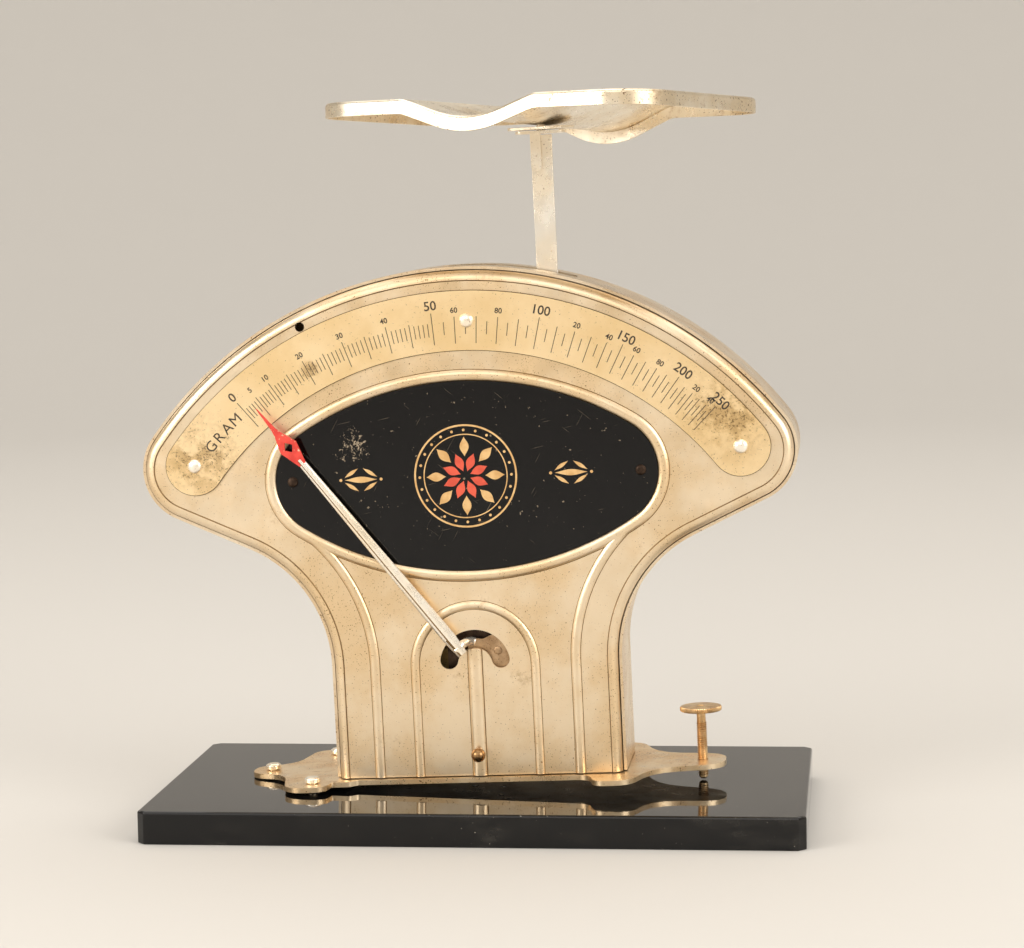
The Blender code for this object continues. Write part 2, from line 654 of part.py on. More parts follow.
def build_inner_frame(metal, parent):
    """U-shaped frame that carries the axle and the link pin, and the screws under it."""
    bores = [disc((PIVOT.x, PIVOT.z), AXLE_RADIUS + HOLE_CLEAR),
             disc((LINK_PIVOT.x, LINK_PIVOT.z), PIN_RADIUS + HOLE_CLEAR)]
    tapped = disc((0.0, PIVOT_Z - CASE_SCREW_DROP), CASE_SCREW_SHANK + HOLE_CLEAR)
    frame = slab("inner_frame", [cheek_outline()] + bores + [tapped],
                 FRONT_CHEEK_Y, FRONT_CHEEK_Y + CHEEK_STOCK)
    finish(frame, metal, parent)
    rear = slab("rear_cheek", [cheek_outline()] + bores, REAR_CHEEK_Y - CHEEK_STOCK, REAR_CHEEK_Y)
    holes = [disc((x, 0.0), CASE_SCREW_SHANK + HOLE_CLEAR) for x in frame_screw_places()]
    near = FRONT_CHEEK_Y + CHEEK_STOCK / 2.0
    far = REAR_CHEEK_Y - CHEEK_STOCK / 2.0
    sole = [(-CHEEK_HALF, near), (CHEEK_HALF, near), (CHEEK_HALF, far), (-CHEEK_HALF, far)]
    floor = slab("frame_floor", [sole] + holes, CASE_FOOT, CASE_FOOT + CHEEK_STOCK, lying=True)
    for other in (rear, floor):
        hang_cutter(other, parent)
        combine(frame, other, "UNION")

    head = 1.1 * MM
    grip = CHEEK_STOCK + 2.0 * GAP + PLATE_THICK
    profile = [(0.0, head), (CASE_SCREW_RADIUS * 0.7, head), (CASE_SCREW_RADIUS, head * 0.6),
               (CASE_SCREW_RADIUS, 0.0), (CASE_SCREW_SHANK, 0.0), (CASE_SCREW_SHANK, -grip), (0.0, -grip)]
    for side, x in zip(("left", "right"), frame_screw_places()):
        place = (x, 0.0, CASE_FOOT + CHEEK_STOCK + GAP)
        finish(turned(f"frame_screw_{side}", profile, place, steps=16), metal, parent, smooth=True)
    middle = LINK_PIVOT + Vector((0.0, (FRONT_CHEEK_Y + REAR_CHEEK_Y) / 2.0, 0.0))
    span = REAR_CHEEK_Y - FRONT_CHEEK_Y + 2.0 * GAP
    pin = turned("link_pin", pin_profile(PIN_RADIUS, span), middle, "FRONT", 16)
    finish(pin, metal, parent, smooth=True)


def link_outline(start, end):
    """Flat link with round ends between two pivots, in XZ."""
    run = Vector((end.x - start.x, end.z - start.z))
    heading = math.atan2(run.y, run.x)
    near = arc((start.x, start.z), LINK_HALF, heading + math.pi / 2.0, heading + 1.5 * math.pi, 8)
    return near + arc((end.x, end.z), LINK_HALF, heading - math.pi / 2.0, heading + math.pi / 2.0, 8)


def bored(place, radius):
    """Round hole about a pivot, in XZ."""
    return disc((place.x, place.z), radius + HOLE_CLEAR)


def build_beam(metal, weight_metal, parent):
    """Axle with everything that turns on it behind the face."""
    front = FACE_Y + SHEET + GAP + GAP
    back = REAR_CHEEK_Y + GAP
    lever_front = front + 0.5 * MM
    axle = turned("pivot_axle", pin_profile(AXLE_RADIUS, back - lever_front),
                  (PIVOT.x, (back + lever_front) / 2.0, PIVOT.z), "FRONT")
    finish(axle, metal, parent, smooth=True)

    corners = [(LEVER_LOBE, POINTER_ANGLE - math.radians(16.0), 2.0),
               (LEVER_LOBE, POINTER_ANGLE + math.radians(14.0), 1.5),
               (LEVER_NECK, 0.0, 2.0), (LEVER_NECK, LEVER_RIVET_ANGLE / 2.0, 2.0),
               (LEVER_RIM, LEVER_RIVET_ANGLE - math.radians(10.0), 2.0),
               (LEVER_RIM, LEVER_RIVET_ANGLE + math.radians(30.0), 2.5),
               (LEVER_HUB, math.radians(150.0), 2.5), (LEVER_HUB, math.radians(-130.0), 2.5)]
    outline = rounded([(*polar(radius, turn), bend * MM) for radius, turn, bend in corners])
    rivet_at = polar(KIDNEY_RADIUS, LEVER_RIVET_ANGLE)
    stub_at = polar(KIDNEY_RADIUS, POINTER_ANGLE)
    holes = [bored(PIVOT, AXLE_RADIUS), disc(rivet_at, RIVET_SHANK + HOLE_CLEAR, 12),
             disc(stub_at, PIN_RADIUS + HOLE_CLEAR, 16)]
    lever = slab("main_lever", [outline] + holes, lever_front, lever_front + LEVER_STOCK)
    finish(lever, metal, parent)
    profile = rivet_profile(1.2 * MM, 0.25 * MM, RIVET_SHANK, LEVER_STOCK + GAP)
    place = (rivet_at[0], lever_front - GAP / 2.0, rivet_at[1])
    finish(turned("lever_rivet", profile, place, "FRONT", 12), metal, parent, smooth=True)

    arm_front = POST_STOCK / 2.0 + 2.0 * GAP
    arm_back = arm_front + LINK_STOCK
    arm = slab("load_arm", [link_outline(PIVOT, LOAD_PIVOT), bored(PIVOT, AXLE_RADIUS),
                            bored(LOAD_PIVOT, PIN_RADIUS)], arm_front, arm_back)
    finish(arm, metal, parent)
    pin_front = -POST_STOCK / 2.0 - 2.0 * GAP
    pin_back = arm_back + 2.0 * GAP
    place = (LOAD_PIVOT.x, (pin_front + pin_back) / 2.0, LOAD_PIVOT.z)
    finish(turned("load_pin", pin_profile(PIN_RADIUS, pin_back - pin_front), place, "FRONT", 16),
           metal, parent, smooth=True)

    foremost = FRONT_CHEEK_Y + CHEEK_STOCK + 3.0 * GAP
    rearmost = REAR_CHEEK_Y - CHEEK_STOCK - 3.0 * GAP
    for name, near, far in (("counterweight_front", foremost, arm_front - GAP),
                            ("counterweight_rear", arm_back + GAP, rearmost)):
        weight = slab(name, [weight_outline(), bored(PIVOT, AXLE_RADIUS)], near, far)
        finish(weight, weight_metal, parent)


def weight_outline():
    """Sector of the counterweight, hanging below the axle and to the left."""
    low = WEIGHT_CENTRE - WEIGHT_SPREAD
    high = WEIGHT_CENTRE + WEIGHT_SPREAD
    hub = WEIGHT_INNER
    rim = [polar(WEIGHT_RADIUS, math.pi + low + (high - low) * i / 10) for i in range(11)]
    boss = [polar(hub, math.pi + high + math.radians(40.0) + math.radians(200.0) * i / 8) for i in range(9)]
    return rim + boss


def build_pointer(red, metal, parent):
    """Pointer with its diamond eye and needle, and the stub that carries it through the slot."""
    along = Vector((math.sin(POINTER_ANGLE), math.cos(POINTER_ANGLE)))
    side = Vector((along.y, -along.x))
    pivot = Vector((PIVOT.x, PIVOT.z))

    def spot(reach, out):
        return tuple(pivot + along * reach + side * out)

    low = KIDNEY_RADIUS
    half = POINTER_HALF
    rod = [spot(low - 2.2 * MM, -half), spot(low - 2.2 * MM, half), spot(DIAMOND_LOW, half * 0.85),
           spot(DIAMOND_MID, DIAMOND_HALF), spot(DIAMOND_HIGH, half * 0.7), spot(POINTER_TIP, 0.1 * MM),
           spot(POINTER_TIP, -0.1 * MM), spot(DIAMOND_HIGH, -half * 0.7), spot(DIAMOND_MID, -DIAMOND_HALF),
           spot(DIAMOND_LOW, -half * 0.85)]
    eye = disc(spot(DIAMOND_MID - 0.3 * MM, 0.0), 1.3 * MM, 12)
    socket = disc(spot(low, 0.0), 0.8 * MM + HOLE_CLEAR, 12)
    blade = slab("pointer", [rod, eye, socket], POINTER_Y, POINTER_Y + POINTER_STOCK)
    finish(blade, red, parent)

    lever_back = FACE_Y + SHEET + 2.0 * GAP + 0.5 * MM + LEVER_STOCK + 0.2 * MM
    seat = POINTER_Y + POINTER_STOCK + GAP
    front = POINTER_Y - 0.5 * MM
    profile = [(0.0, -front), (0.8 * MM, -front), (0.8 * MM, -seat), (PIN_RADIUS, -seat),
               (PIN_RADIUS, -lever_back), (0.0, -lever_back)]
    x, z = spot(low, 0.0)
    stub = turned("pointer_stub", profile, (x, 0.0, z), "FRONT", 16)
    finish(stub, metal, parent, smooth=True)


def build_post(metal, post_axis, link_axis):
    """Post with its flange, the check link and the pin between them."""
    low = LOAD_PIVOT.z - 4.5 * MM
    left, right = POST_X - POST_HALF, POST_X + POST_HALF
    wide = LINK_HALF + 0.6 * MM
    cut = LINK_END.z + 7.0 * MM
    outline = rounded([(LOAD_PIVOT.x - wide, low, 2.0 * MM), (LOAD_PIVOT.x + wide, low, 2.0 * MM),
                       (LOAD_PIVOT.x + wide, cut, 1.0 * MM), (right, cut + 3.0 * MM, 1.0 * MM),
                       (right, POST_TOP, 0.0), (left, POST_TOP, 0.0), (left, cut + 3.0 * MM, 1.0 * MM),
                       (LOAD_PIVOT.x - wide, cut, 1.0 * MM)])
    pivots = [bored(LOAD_PIVOT, PIN_RADIUS), bored(LINK_END, PIN_RADIUS)]
    post = slab("post", [outline] + pivots, -POST_STOCK / 2.0, POST_STOCK / 2.0)
    finish(post, metal, post_axis)

    flange = slab("post_flange", [rounded([(POST_X - FLANGE_HALF, -FLANGE_WIDTH / 2.0, 2.0 * MM),
                                           (POST_X + FLANGE_HALF, -FLANGE_WIDTH / 2.0, 2.0 * MM),
                                           (POST_X + FLANGE_HALF, FLANGE_WIDTH / 2.0, 2.0 * MM),
                                           (POST_X - FLANGE_HALF, FLANGE_WIDTH / 2.0, 2.0 * MM)]),
                                  disc((POST_X, 0.0), PIN_RADIUS + HOLE_CLEAR, 16)],
                  FLANGE_TOP - SHEET, FLANGE_TOP, lying=True)
    finish(flange, metal, post_axis)
    tongue_front = -POST_STOCK / 2.0 - GAP - SHEET
    tongue = slab("tongue", [rounded([(left, FLANGE_TOP - TONGUE_LENGTH, 1.2 * MM),
                                      (POST_X, FLANGE_TOP - TONGUE_LENGTH, 1.2 * MM),
                                      (POST_X, FLANGE_TOP - SHEET / 2.0, 0.0),
                                      (left, FLANGE_TOP - SHEET / 2.0, 0.0)])],
                  tongue_front, tongue_front + SHEET)
    hang_cutter(tongue, post_axis)
    combine(flange, tongue, "UNION")

    link_front = POST_STOCK / 2.0 + 2.0 * GAP
    link_back = link_front + LINK_STOCK
    loose = 0.3 * MM
    link = slab("check_link", [link_outline(LINK_PIVOT, LINK_END), bored(LINK_PIVOT, PIN_RADIUS),
                               bored(LINK_END, PIN_RADIUS + loose)], link_front, link_back)
    finish(link, metal, link_axis)
    front = -POST_STOCK / 2.0 - 2.0 * GAP
    back = link_back + 2.0 * GAP
    pin = turned("post_pin", pin_profile(PIN_RADIUS, back - front),
                 (LINK_END.x, (front + back) / 2.0, LINK_END.z), "FRONT", 16)
    finish(pin, metal, post_axis, smooth=True)


def trough_height(across, along):
    """Height of the pan's top face: flat sides and a trough that deepens towards the rear."""
    reach = min(1.0, abs(across) / (TROUGH_WIDTH / 2.0))
    depth = TROUGH_DEPTH + TROUGH_FALL * along / PAN_ALONG
    return -depth * (1.0 + math.cos(math.pi * reach)) / 2.0


def build_pan(metal, parent):
    """Letter pan: a sheet with a trough, round corners and a rim folded down all round."""
    half_u, half_v = PAN_ACROSS / 2.0, PAN_ALONG / 2.0
    cross = sorted({round(u, 6) for u in pan_stations()})
    work = bmesh.new()
    inner_u = half_u - PAN_CORNER
    rows = []
    for u in cross:
        over = max(0.0, abs(u) - inner_u)
        reach = half_v - PAN_CORNER + math.sqrt(max(0.0, PAN_CORNER ** 2 - over ** 2))
        spots = [reach * step / 2.0 for step in range(-2, 3)]
        line = [work.verts.new((u, v, trough_height(u, v))) for v in spots]
        rows.append(line)
    for line, after in zip(rows, rows[1:]):
        for i in range(4):
            work.faces.new((line[i], after[i], after[i + 1], line[i + 1]))
    border = [e for e in work.edges if e.is_boundary]
    fold = bmesh.ops.extrude_edge_only(work, edges=border)
    for vert in (g for g in fold["geom"] if isinstance(g, bmesh.types.BMVert)):
        vert.co.z -= PAN_RIM
    bmesh.ops.recalc_face_normals(work, faces=work.faces)
    if max(work.faces, key=lambda f: f.calc_area()).normal.z < 0.0:
        bmesh.ops.reverse_faces(work, faces=work.faces)
    mesh = bpy.data.meshes.new("pan")
    work.to_mesh(mesh)
    work.free()
    pan = bpy.data.objects.new("pan", mesh)
    wall = pan.modifiers.new("sheet", "SOLIDIFY")
    wall.thickness = PAN_STOCK
    wall.offset = -1.0
    wall.use_even_offset = True
    finish(pan, metal, parent)
    pan.location = (0.0, 0.0, PAN_TOP - FLANGE_TOP)
    pan.rotation_euler = (-PAN_TIP, PAN_ROLL, 0.0)
    hole = turned("pan_hole", pin_profile(PIN_RADIUS + HOLE_CLEAR, 8.0 * MM),
                  (0.0, 0.0, PAN_TOP - TROUGH_DEPTH - FLANGE_TOP), steps=16)
    hole.parent = parent
    combine(pan, hole, "DIFFERENCE")

    saddle = slab("pan_saddle", [rounded([(-SADDLE_HALF, -FLANGE_WIDTH / 2.0, 2.0 * MM),
                                          (SADDLE_HALF, -FLANGE_WIDTH / 2.0, 2.0 * MM),
                                          (SADDLE_HALF, FLANGE_WIDTH / 2.0, 2.0 * MM),
                                          (-SADDLE_HALF, FLANGE_WIDTH / 2.0, 2.0 * MM)]),
                                 disc((0.0, 0.0), PIN_RADIUS + HOLE_CLEAR, 16)],
                  SADDLE_TOP - SHEET - FLANGE_TOP, SADDLE_TOP - FLANGE_TOP, lying=True)
    finish(saddle, metal)
    saddle.parent = parent
    head = PAN_TOP - TROUGH_DEPTH + GAP
    profile = rivet_profile(1.9 * MM, 0.9 * MM, PIN_RADIUS, head - (FLANGE_TOP - SHEET))
    rivet = turned("pan_rivet", profile, (0.0, 0.0, head - FLANGE_TOP))
    finish(rivet, metal, smooth=True)
    rivet.parent = parent


def pan_stations():
    """Stations across the pan: the trough in even steps, the corners by angle."""
    half = TROUGH_WIDTH / 2.0
    stations = [half * i / 6 for i in range(-6, 7)]
    inner = PAN_ACROSS / 2.0 - PAN_CORNER
    for turn in (0.0, 22.5, 45.0, 67.5, 82.0):
        out = inner + PAN_CORNER * math.sin(math.radians(turn))
        stations += [out, -out]
    return stations


def build_levelling_screw(metal, stem_axis, knob_axis):
    """Threaded stem through the plate's tip, and the knurled knob on its top."""
    lift = (SCREW_X - FEET_X) * math.tan(LEAN)
    low = BASE_HEIGHT + GAP - lift
    top = PLATE_TOP + KNOB_LIFT
    stub = 0.8 * SCREW_RADIUS
    neck = top - KNOB_THICK - GAP
    profile = [(0.0, top), (stub, top), (stub, neck), (SCREW_RADIUS, neck),
               (SCREW_RADIUS, low + 0.6 * MM), (SCREW_RADIUS * 0.6, low), (0.0, low)]
    stem = turned("levelling_stem", profile, (SCREW_X, 0.0, 0.0))
    finish(stem, metal, stem_axis, smooth=True)
    bore = stub + HOLE_CLEAR
    edge = 0.3 * MM
    ring = [(bore, top), (KNOB_RADIUS - edge, top), (KNOB_RADIUS, top - edge),
            (KNOB_RADIUS, top - KNOB_THICK + edge), (KNOB_RADIUS - edge, top - KNOB_THICK),
            (bore, top - KNOB_THICK), (bore, top)]
    knob = turned("levelling_knob", ring, (SCREW_X, 0.0, 0.0), steps=36)
    finish(knob, metal, knob_axis, smooth=True)


def main():
    """Build every piece."""
    clear_scene()
    new_collection("letter_scale")
    new_collection("cutters")
    nickel = make_material("aged_nickel", (0.66, 0.58, 0.42), 0.36, 1.0)
    dial_metal = make_material("dial_brass", (0.55, 0.45, 0.22), 0.42, 1.0)
    black = make_material("black_lacquer", (0.012, 0.012, 0.013), 0.25, 0.0)
    glass = make_material("black_glass", (0.006, 0.006, 0.007), 0.06, 0.0)
    red = make_material("red_enamel", (0.55, 0.05, 0.03), 0.45, 0.0)
    dark = make_material("dark_rivet", (0.05, 0.045, 0.04), 0.5, 1.0)
    weight = make_material("cast_weight", (0.10, 0.09, 0.08), 0.6, 1.0)
    brass = make_material("screw_brass", (0.60, 0.44, 0.20), 0.35, 1.0)

    heel = add_axis("level_axis", HEEL)
    beam_axis = add_axis("beam_axis", PIVOT, heel)
    post_axis = add_axis("post_axis", LOAD_PIVOT, beam_axis)
    link_axis = add_axis("link_axis", LINK_PIVOT, heel)
    pan_axis = add_axis("pan_axis", (POST_X, 0.0, FLANGE_TOP), post_axis)
    pan_axis.rotation_euler = (0.0, 0.0, -PAN_TURN)
    stem_axis = add_axis("stem_axis", (SCREW_X, 0.0, PLATE_TOP), heel)
    knob_axis = add_axis("knob_axis", (SCREW_X, 0.0, PLATE_TOP + KNOB_LIFT), stem_axis)
    heel.rotation_euler = (0.0, -LEAN, 0.0)

    build_base(glass)
    build_foot_plate(nickel, heel)
    build_studs(nickel, heel)
    build_front_shell(nickel, heel)
    build_back_case(nickel, heel)
    build_face_fittings(dial_metal, black, nickel, dark, heel)
    build_inner_frame(nickel, heel)
    build_beam(nickel, weight, beam_axis)
    build_pointer(red, nickel, beam_axis)
    build_post(nickel, post_axis, link_axis)
    build_pan(nickel, pan_axis)
    build_levelling_screw(brass, stem_axis, knob_axis)


main()
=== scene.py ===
"""Looks of a pendulum letter scale of nickelled sheet on a black glass plate.

The case, dial, pointer and pan are modelled upright about the main pivot and then leaned with
the scale, as its levelling screw leans the real one.  Sizes are in millimetres inside the
classes and are turned to metres when a mesh is placed.
"""
import json
import logging
import math
from dataclasses import dataclass, field
from enum import Enum
from typing import Callable, Iterable, Optional, Sequence, Union

import bmesh
import bpy
from mathutils import Matrix, Vector


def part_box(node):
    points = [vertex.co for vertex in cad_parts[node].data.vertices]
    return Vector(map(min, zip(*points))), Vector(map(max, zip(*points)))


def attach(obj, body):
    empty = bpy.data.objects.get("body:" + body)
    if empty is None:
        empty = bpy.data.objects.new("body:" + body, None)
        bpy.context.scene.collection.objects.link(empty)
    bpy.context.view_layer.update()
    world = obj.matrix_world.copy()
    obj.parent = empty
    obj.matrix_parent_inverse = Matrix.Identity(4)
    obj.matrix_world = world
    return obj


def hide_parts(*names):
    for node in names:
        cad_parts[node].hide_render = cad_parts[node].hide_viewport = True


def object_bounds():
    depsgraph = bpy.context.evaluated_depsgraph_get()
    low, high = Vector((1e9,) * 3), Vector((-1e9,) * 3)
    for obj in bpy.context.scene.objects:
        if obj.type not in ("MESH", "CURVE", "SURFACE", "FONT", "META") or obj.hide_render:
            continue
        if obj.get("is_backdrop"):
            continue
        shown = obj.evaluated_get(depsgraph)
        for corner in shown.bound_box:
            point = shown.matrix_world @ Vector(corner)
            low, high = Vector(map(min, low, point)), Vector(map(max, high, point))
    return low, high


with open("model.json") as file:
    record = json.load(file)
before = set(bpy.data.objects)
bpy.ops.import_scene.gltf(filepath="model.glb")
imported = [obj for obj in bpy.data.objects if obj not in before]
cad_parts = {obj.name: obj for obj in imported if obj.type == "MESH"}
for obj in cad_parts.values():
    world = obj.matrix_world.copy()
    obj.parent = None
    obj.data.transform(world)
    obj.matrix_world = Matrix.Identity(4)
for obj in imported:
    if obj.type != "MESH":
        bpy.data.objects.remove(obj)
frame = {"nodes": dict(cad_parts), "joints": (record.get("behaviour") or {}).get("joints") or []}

LOG = logging.getLogger("letter_scale")
MM = 0.001
NEAR = 0.01
Point = tuple[float, float]
Loop = list[Point]
Socket = bpy.types.NodeSocket
Value = Union[bpy.types.NodeSocket, float]
Piece = bpy.types.Object


class Facing(Enum):
    """Way that the top of a turned or flat piece looks."""

    UP = Matrix.Identity(4)
    FRONT = Matrix.Rotation(math.pi / 2.0, 4, "X")


class Body(Enum):
    """Moving bodies of the frame that pieces ride on."""

    BASE = "base"
    SCALE = "scale"
    BEAM = "beam"
    POST = "post"
    LINK = "check_link"
    PAN = "pan"
    STEM = "screw_stem"
    KNOB = "screw_knob"


# Frame -----------------------------------------------------------------------------------------


def joint(name: str) -> dict:
    """Return the frame's joint of that name.

    Args:
        name: The joint's name.

    Returns:
        The joint's record.
    """
    return next(row for row in frame["joints"] if row["name"] == name)


@dataclass(frozen=True)
class Stance:
    """How the scale stands: upright coordinates in millimetres to the leaning scale."""

    heel: Vector = field(default_factory=lambda: Vector(joint("level_tilt")["pos_m"]))
    up: Vector = field(default_factory=lambda: Vector(joint("pan_swivel")["axis"]))

    @property
    def lean(self) -> float:
        """Angle in radians by which the scale leans to its left."""
        return math.atan2(-self.up.x, self.up.z)

    @property
    def matrix(self) -> Matrix:
        """Matrix from upright millimetres to the frame's metres."""
        turn = Matrix.Rotation(-self.lean, 4, "Y")
        there = Matrix.Translation(self.heel)
        return there @ turn @ Matrix.Translation(-self.heel) @ Matrix.Scale(MM, 4)

    def upright(self, place: Sequence[float]) -> Vector:
        """Return a point of the frame, in metres, in upright millimetres."""
        return self.matrix.inverted() @ Vector(place)


STANCE = Stance()
PIVOT = STANCE.upright(joint("beam_swing")["pos_m"])
LOAD_PIVOT = STANCE.upright(joint("post_hang")["pos_m"])


# Outlines --------------------------------------------------------------------------------------


def polar(radius: float, angle: float) -> Point:
    """Return a point about the main pivot.

    Args:
        radius: Distance from the pivot.
        angle: Angle in radians from straight up, clockwise from the front.

    Returns:
        The point in the upright XZ plane.
    """
    return (PIVOT.x + radius * math.sin(angle), PIVOT.z + radius * math.cos(angle))


def arc(centre: Sequence[float], radius: float, start: float, end: float, steps: int) -> Loop:
    """Return points on an arc.

    Args:
        centre: Centre of the arc.
        radius: Radius of the arc.
        start: First angle in radians, from the first axis towards the second.
        end: Last angle.
        steps: Number of chords.

    Returns:
        The points, ends included.
    """
    turns = [start + (end - start) * i / steps for i in range(steps + 1)]
    return [(centre[0] + radius * math.cos(t), centre[1] + radius * math.sin(t)) for t in turns]


def disc(centre: Sequence[float], radius: float, steps: int = 32) -> Loop:
    """Return a full circle of points."""
    return arc(centre, radius, 0.0, 2.0 * math.pi, steps)[:-1]


def lens(centre: Sequence[float], length: float, width: float, angle: float) -> Loop:
    """Return a leaf outline with two pointed ends.

    Args:
        centre: Middle of the leaf.
        length: Length from point to point.
        width: Greatest width.
        angle: Direction of the length in radians.

    Returns:
        The closed outline.
    """
    steps = 10
    half = [(-length / 2.0 + length * i / steps, width / 2.0 * math.sin(math.pi * i / steps) ** 1.3)
            for i in range(steps + 1)]
    loop = half + [(x, -y) for x, y in half[-2:0:-1]]
    c, s = math.cos(angle), math.sin(angle)
    return [(centre[0] + x * c - y * s, centre[1] + x * s + y * c) for x, y in loop]


def band(radius: float, half: float, spread: float, steps: int, end_steps: int) -> Loop:
    """Return a curved band about the pivot with round ends.

    Args:
        radius: Radius of the band's middle.
        half: Half of its width.
        spread: Half of its angle, from straight up.
        steps: Chords along each edge.
        end_steps: Chords round each end.

    Returns:
        The closed outline.
    """
    points = [polar(radius + half, -spread + 2.0 * spread * i / steps) for i in range(steps + 1)]
    start = math.pi / 2.0 - spread
    points += arc(polar(radius, spread), half, start, start - math.pi, end_steps)[1:-1]
    points += [polar(radius - half, spread - 2.0 * spread * i / steps) for i in range(steps + 1)]
    start = 1.5 * math.pi + spread
    points += arc(polar(radius, -spread), half, start, start - math.pi, end_steps)[1:-1]
    return points


# Modelling helpers -----------------------------------------------------------------------------


def select_only(piece: Piece) -> None:
    """Leave one object selected and active."""
    bpy.ops.object.select_all(action="DESELECT")
    piece.select_set(True)
    bpy.context.view_layer.objects.active = piece


def linked(name: str, data: bpy.types.ID) -> Piece:
    """Link a new object to the scene.

    Args:
        name: Its name.
        data: The mesh, curve, light or camera that it holds.

    Returns:
        The object.
    """
    piece = bpy.data.objects.new(name, data)
    bpy.context.scene.collection.objects.link(piece)
    return piece


def from_bmesh(name: str, work: bmesh.types.BMesh) -> Piece:
    """Turn a BMesh into a piece and free it.

    Args:
        name: The piece's name.
        work: The finished BMesh.

    Returns:
        The piece.
    """
    mesh = bpy.data.meshes.new(name)
    work.to_mesh(mesh)
    work.free()
    return linked(name, mesh)


def edit(piece: Piece, *steps: Callable[[], object]) -> None:
    """Run edit mode operators on a whole piece.

    Args:
        piece: The piece.
        steps: Calls that each run one operator.
    """
    select_only(piece)
    bpy.ops.object.mode_set(mode="EDIT")
    bpy.ops.mesh.select_all(action="SELECT")
    for step in steps:
        step()
    bpy.ops.object.mode_set(mode="OBJECT")


def pick(piece: Piece, mode: str, wanted: Callable[[object], bool]) -> None:
    """Select the edges or faces of a piece that a test accepts.

    Args:
        piece: The piece, in edit mode.
        mode: EDGE or FACE.
        wanted: Test of a BMesh edge or face.
    """
    bpy.ops.mesh.select_mode(type=mode)
    bpy.ops.mesh.select_all(action="DESELECT")
    work = bmesh.from_edit_mesh(piece.data)
    for item in work.edges if mode == "EDGE" else work.faces:
        item.select_set(wanted(item))
    work.select_flush_mode()
    bmesh.update_edit_mesh(piece.data)


def clean(piece: Piece, merge: float = 0.001, turn_out: bool = True) -> None:
    """Merge doubled points and turn the faces outwards.

    Args:
        piece: The piece, still in millimetres.
        merge: Merge distance in the piece's own unit.
        turn_out: Whether the normals are made consistent too.
    """
    steps = [lambda: bpy.ops.mesh.remove_doubles(threshold=merge)]
    if turn_out:
        steps.append(lambda: bpy.ops.mesh.normals_make_consistent(inside=False))
    edit(piece, *steps)


def merge_faces(piece: Piece) -> None:
    """Make one face of the front and one of the back of an upright flat piece."""
    edit(piece, lambda: pick(piece, "FACE", lambda f: abs(f.normal.y) > 0.99),
         bpy.ops.mesh.dissolve_faces)


def apply_modifier(piece: Piece, kind: str, **settings: object) -> None:
    """Add a modifier to a piece and apply it.

    Args:
        piece: The piece.
        kind: Blender's type of the modifier.
        settings: Values of the modifier's properties.
    """
    select_only(piece)
    modifier = piece.modifiers.new(kind.lower(), kind)
    for key, value in settings.items():
        setattr(modifier, key, value)
    bpy.ops.object.modifier_apply(modifier=modifier.name)


def break_edges(piece: Piece, width: float, segments: int, angle: float,
                **settings: object) -> None:
    """Bevel the edges of a piece that are sharper than an angle.

    Args:
        piece: The piece.
        width: Width of the bevel in the piece's own unit.
        segments: Steps round an edge.
        angle: The angle in degrees.
        settings: Further properties of the modifier.
    """
    apply_modifier(piece, "BEVEL", width=width, segments=segments, limit_method="ANGLE",
                   angle_limit=math.radians(angle), **settings)


def thicken(piece: Piece, thickness: float) -> None:
    """Give a sheet its thickness, inwards."""
    apply_modifier(piece, "SOLIDIFY", thickness=thickness, offset=-1.0, use_even_offset=True)


def polyline(name: str, lines: Iterable[Sequence], cyclic: bool = True,
             dimensions: str = "2D") -> bpy.types.Curve:
    """Return a curve with one straight-sided spline for each line of points.

    Args:
        name: The curve's name.
        lines: Lines of points with two or three coordinates.
        cyclic: Whether each line closes on itself.
        dimensions: 2D or 3D.

    Returns:
        The curve.
    """
    curve = bpy.data.curves.new(name, "CURVE")
    curve.dimensions = dimensions
    for line in lines:
        spline = curve.splines.new("POLY")
        spline.points.add(len(line) - 1)
        for point, place in zip(spline.points, line):
            point.co = (*place, *([0.0] * (3 - len(place))), 1.0)
        spline.use_cyclic_u = cyclic
    return curve


def meshed(curve: bpy.types.Curve) -> Piece:
    """Turn a curve into a piece of the same name.

    Args:
        curve: The curve.

    Returns:
        The piece.
    """
    piece = linked(curve.name, curve)
    select_only(piece)
    bpy.ops.object.convert(target="MESH")
    return piece


def flat(name: str, loops: Sequence[Loop], near: float, far: float,
         facing: Facing = Facing.FRONT) -> Piece:
    """Make a flat piece from closed outlines, holes among them.

    Args:
        name: The piece's name.
        loops: Closed outlines, in XZ for an upright piece or XY for a lying one.
        near: Y of the front, or Z of the underside of a lying piece.
        far: Y of the back, or Z of the top.
        facing: FRONT for an upright piece, UP for a lying one.

    Returns:
        The piece, in millimetres.
    """
    curve = polyline(name, loops)
    curve.fill_mode = "BOTH"
    curve.extrude = abs(far - near) / 2.0
    piece = meshed(curve)
    middle = (near + far) / 2.0
    shift = (0.0, 0.0, middle) if facing is Facing.UP else (0.0, middle, 0.0)
    piece.data.transform(Matrix.Translation(shift) @ facing.value)
    clean(piece)
    return piece


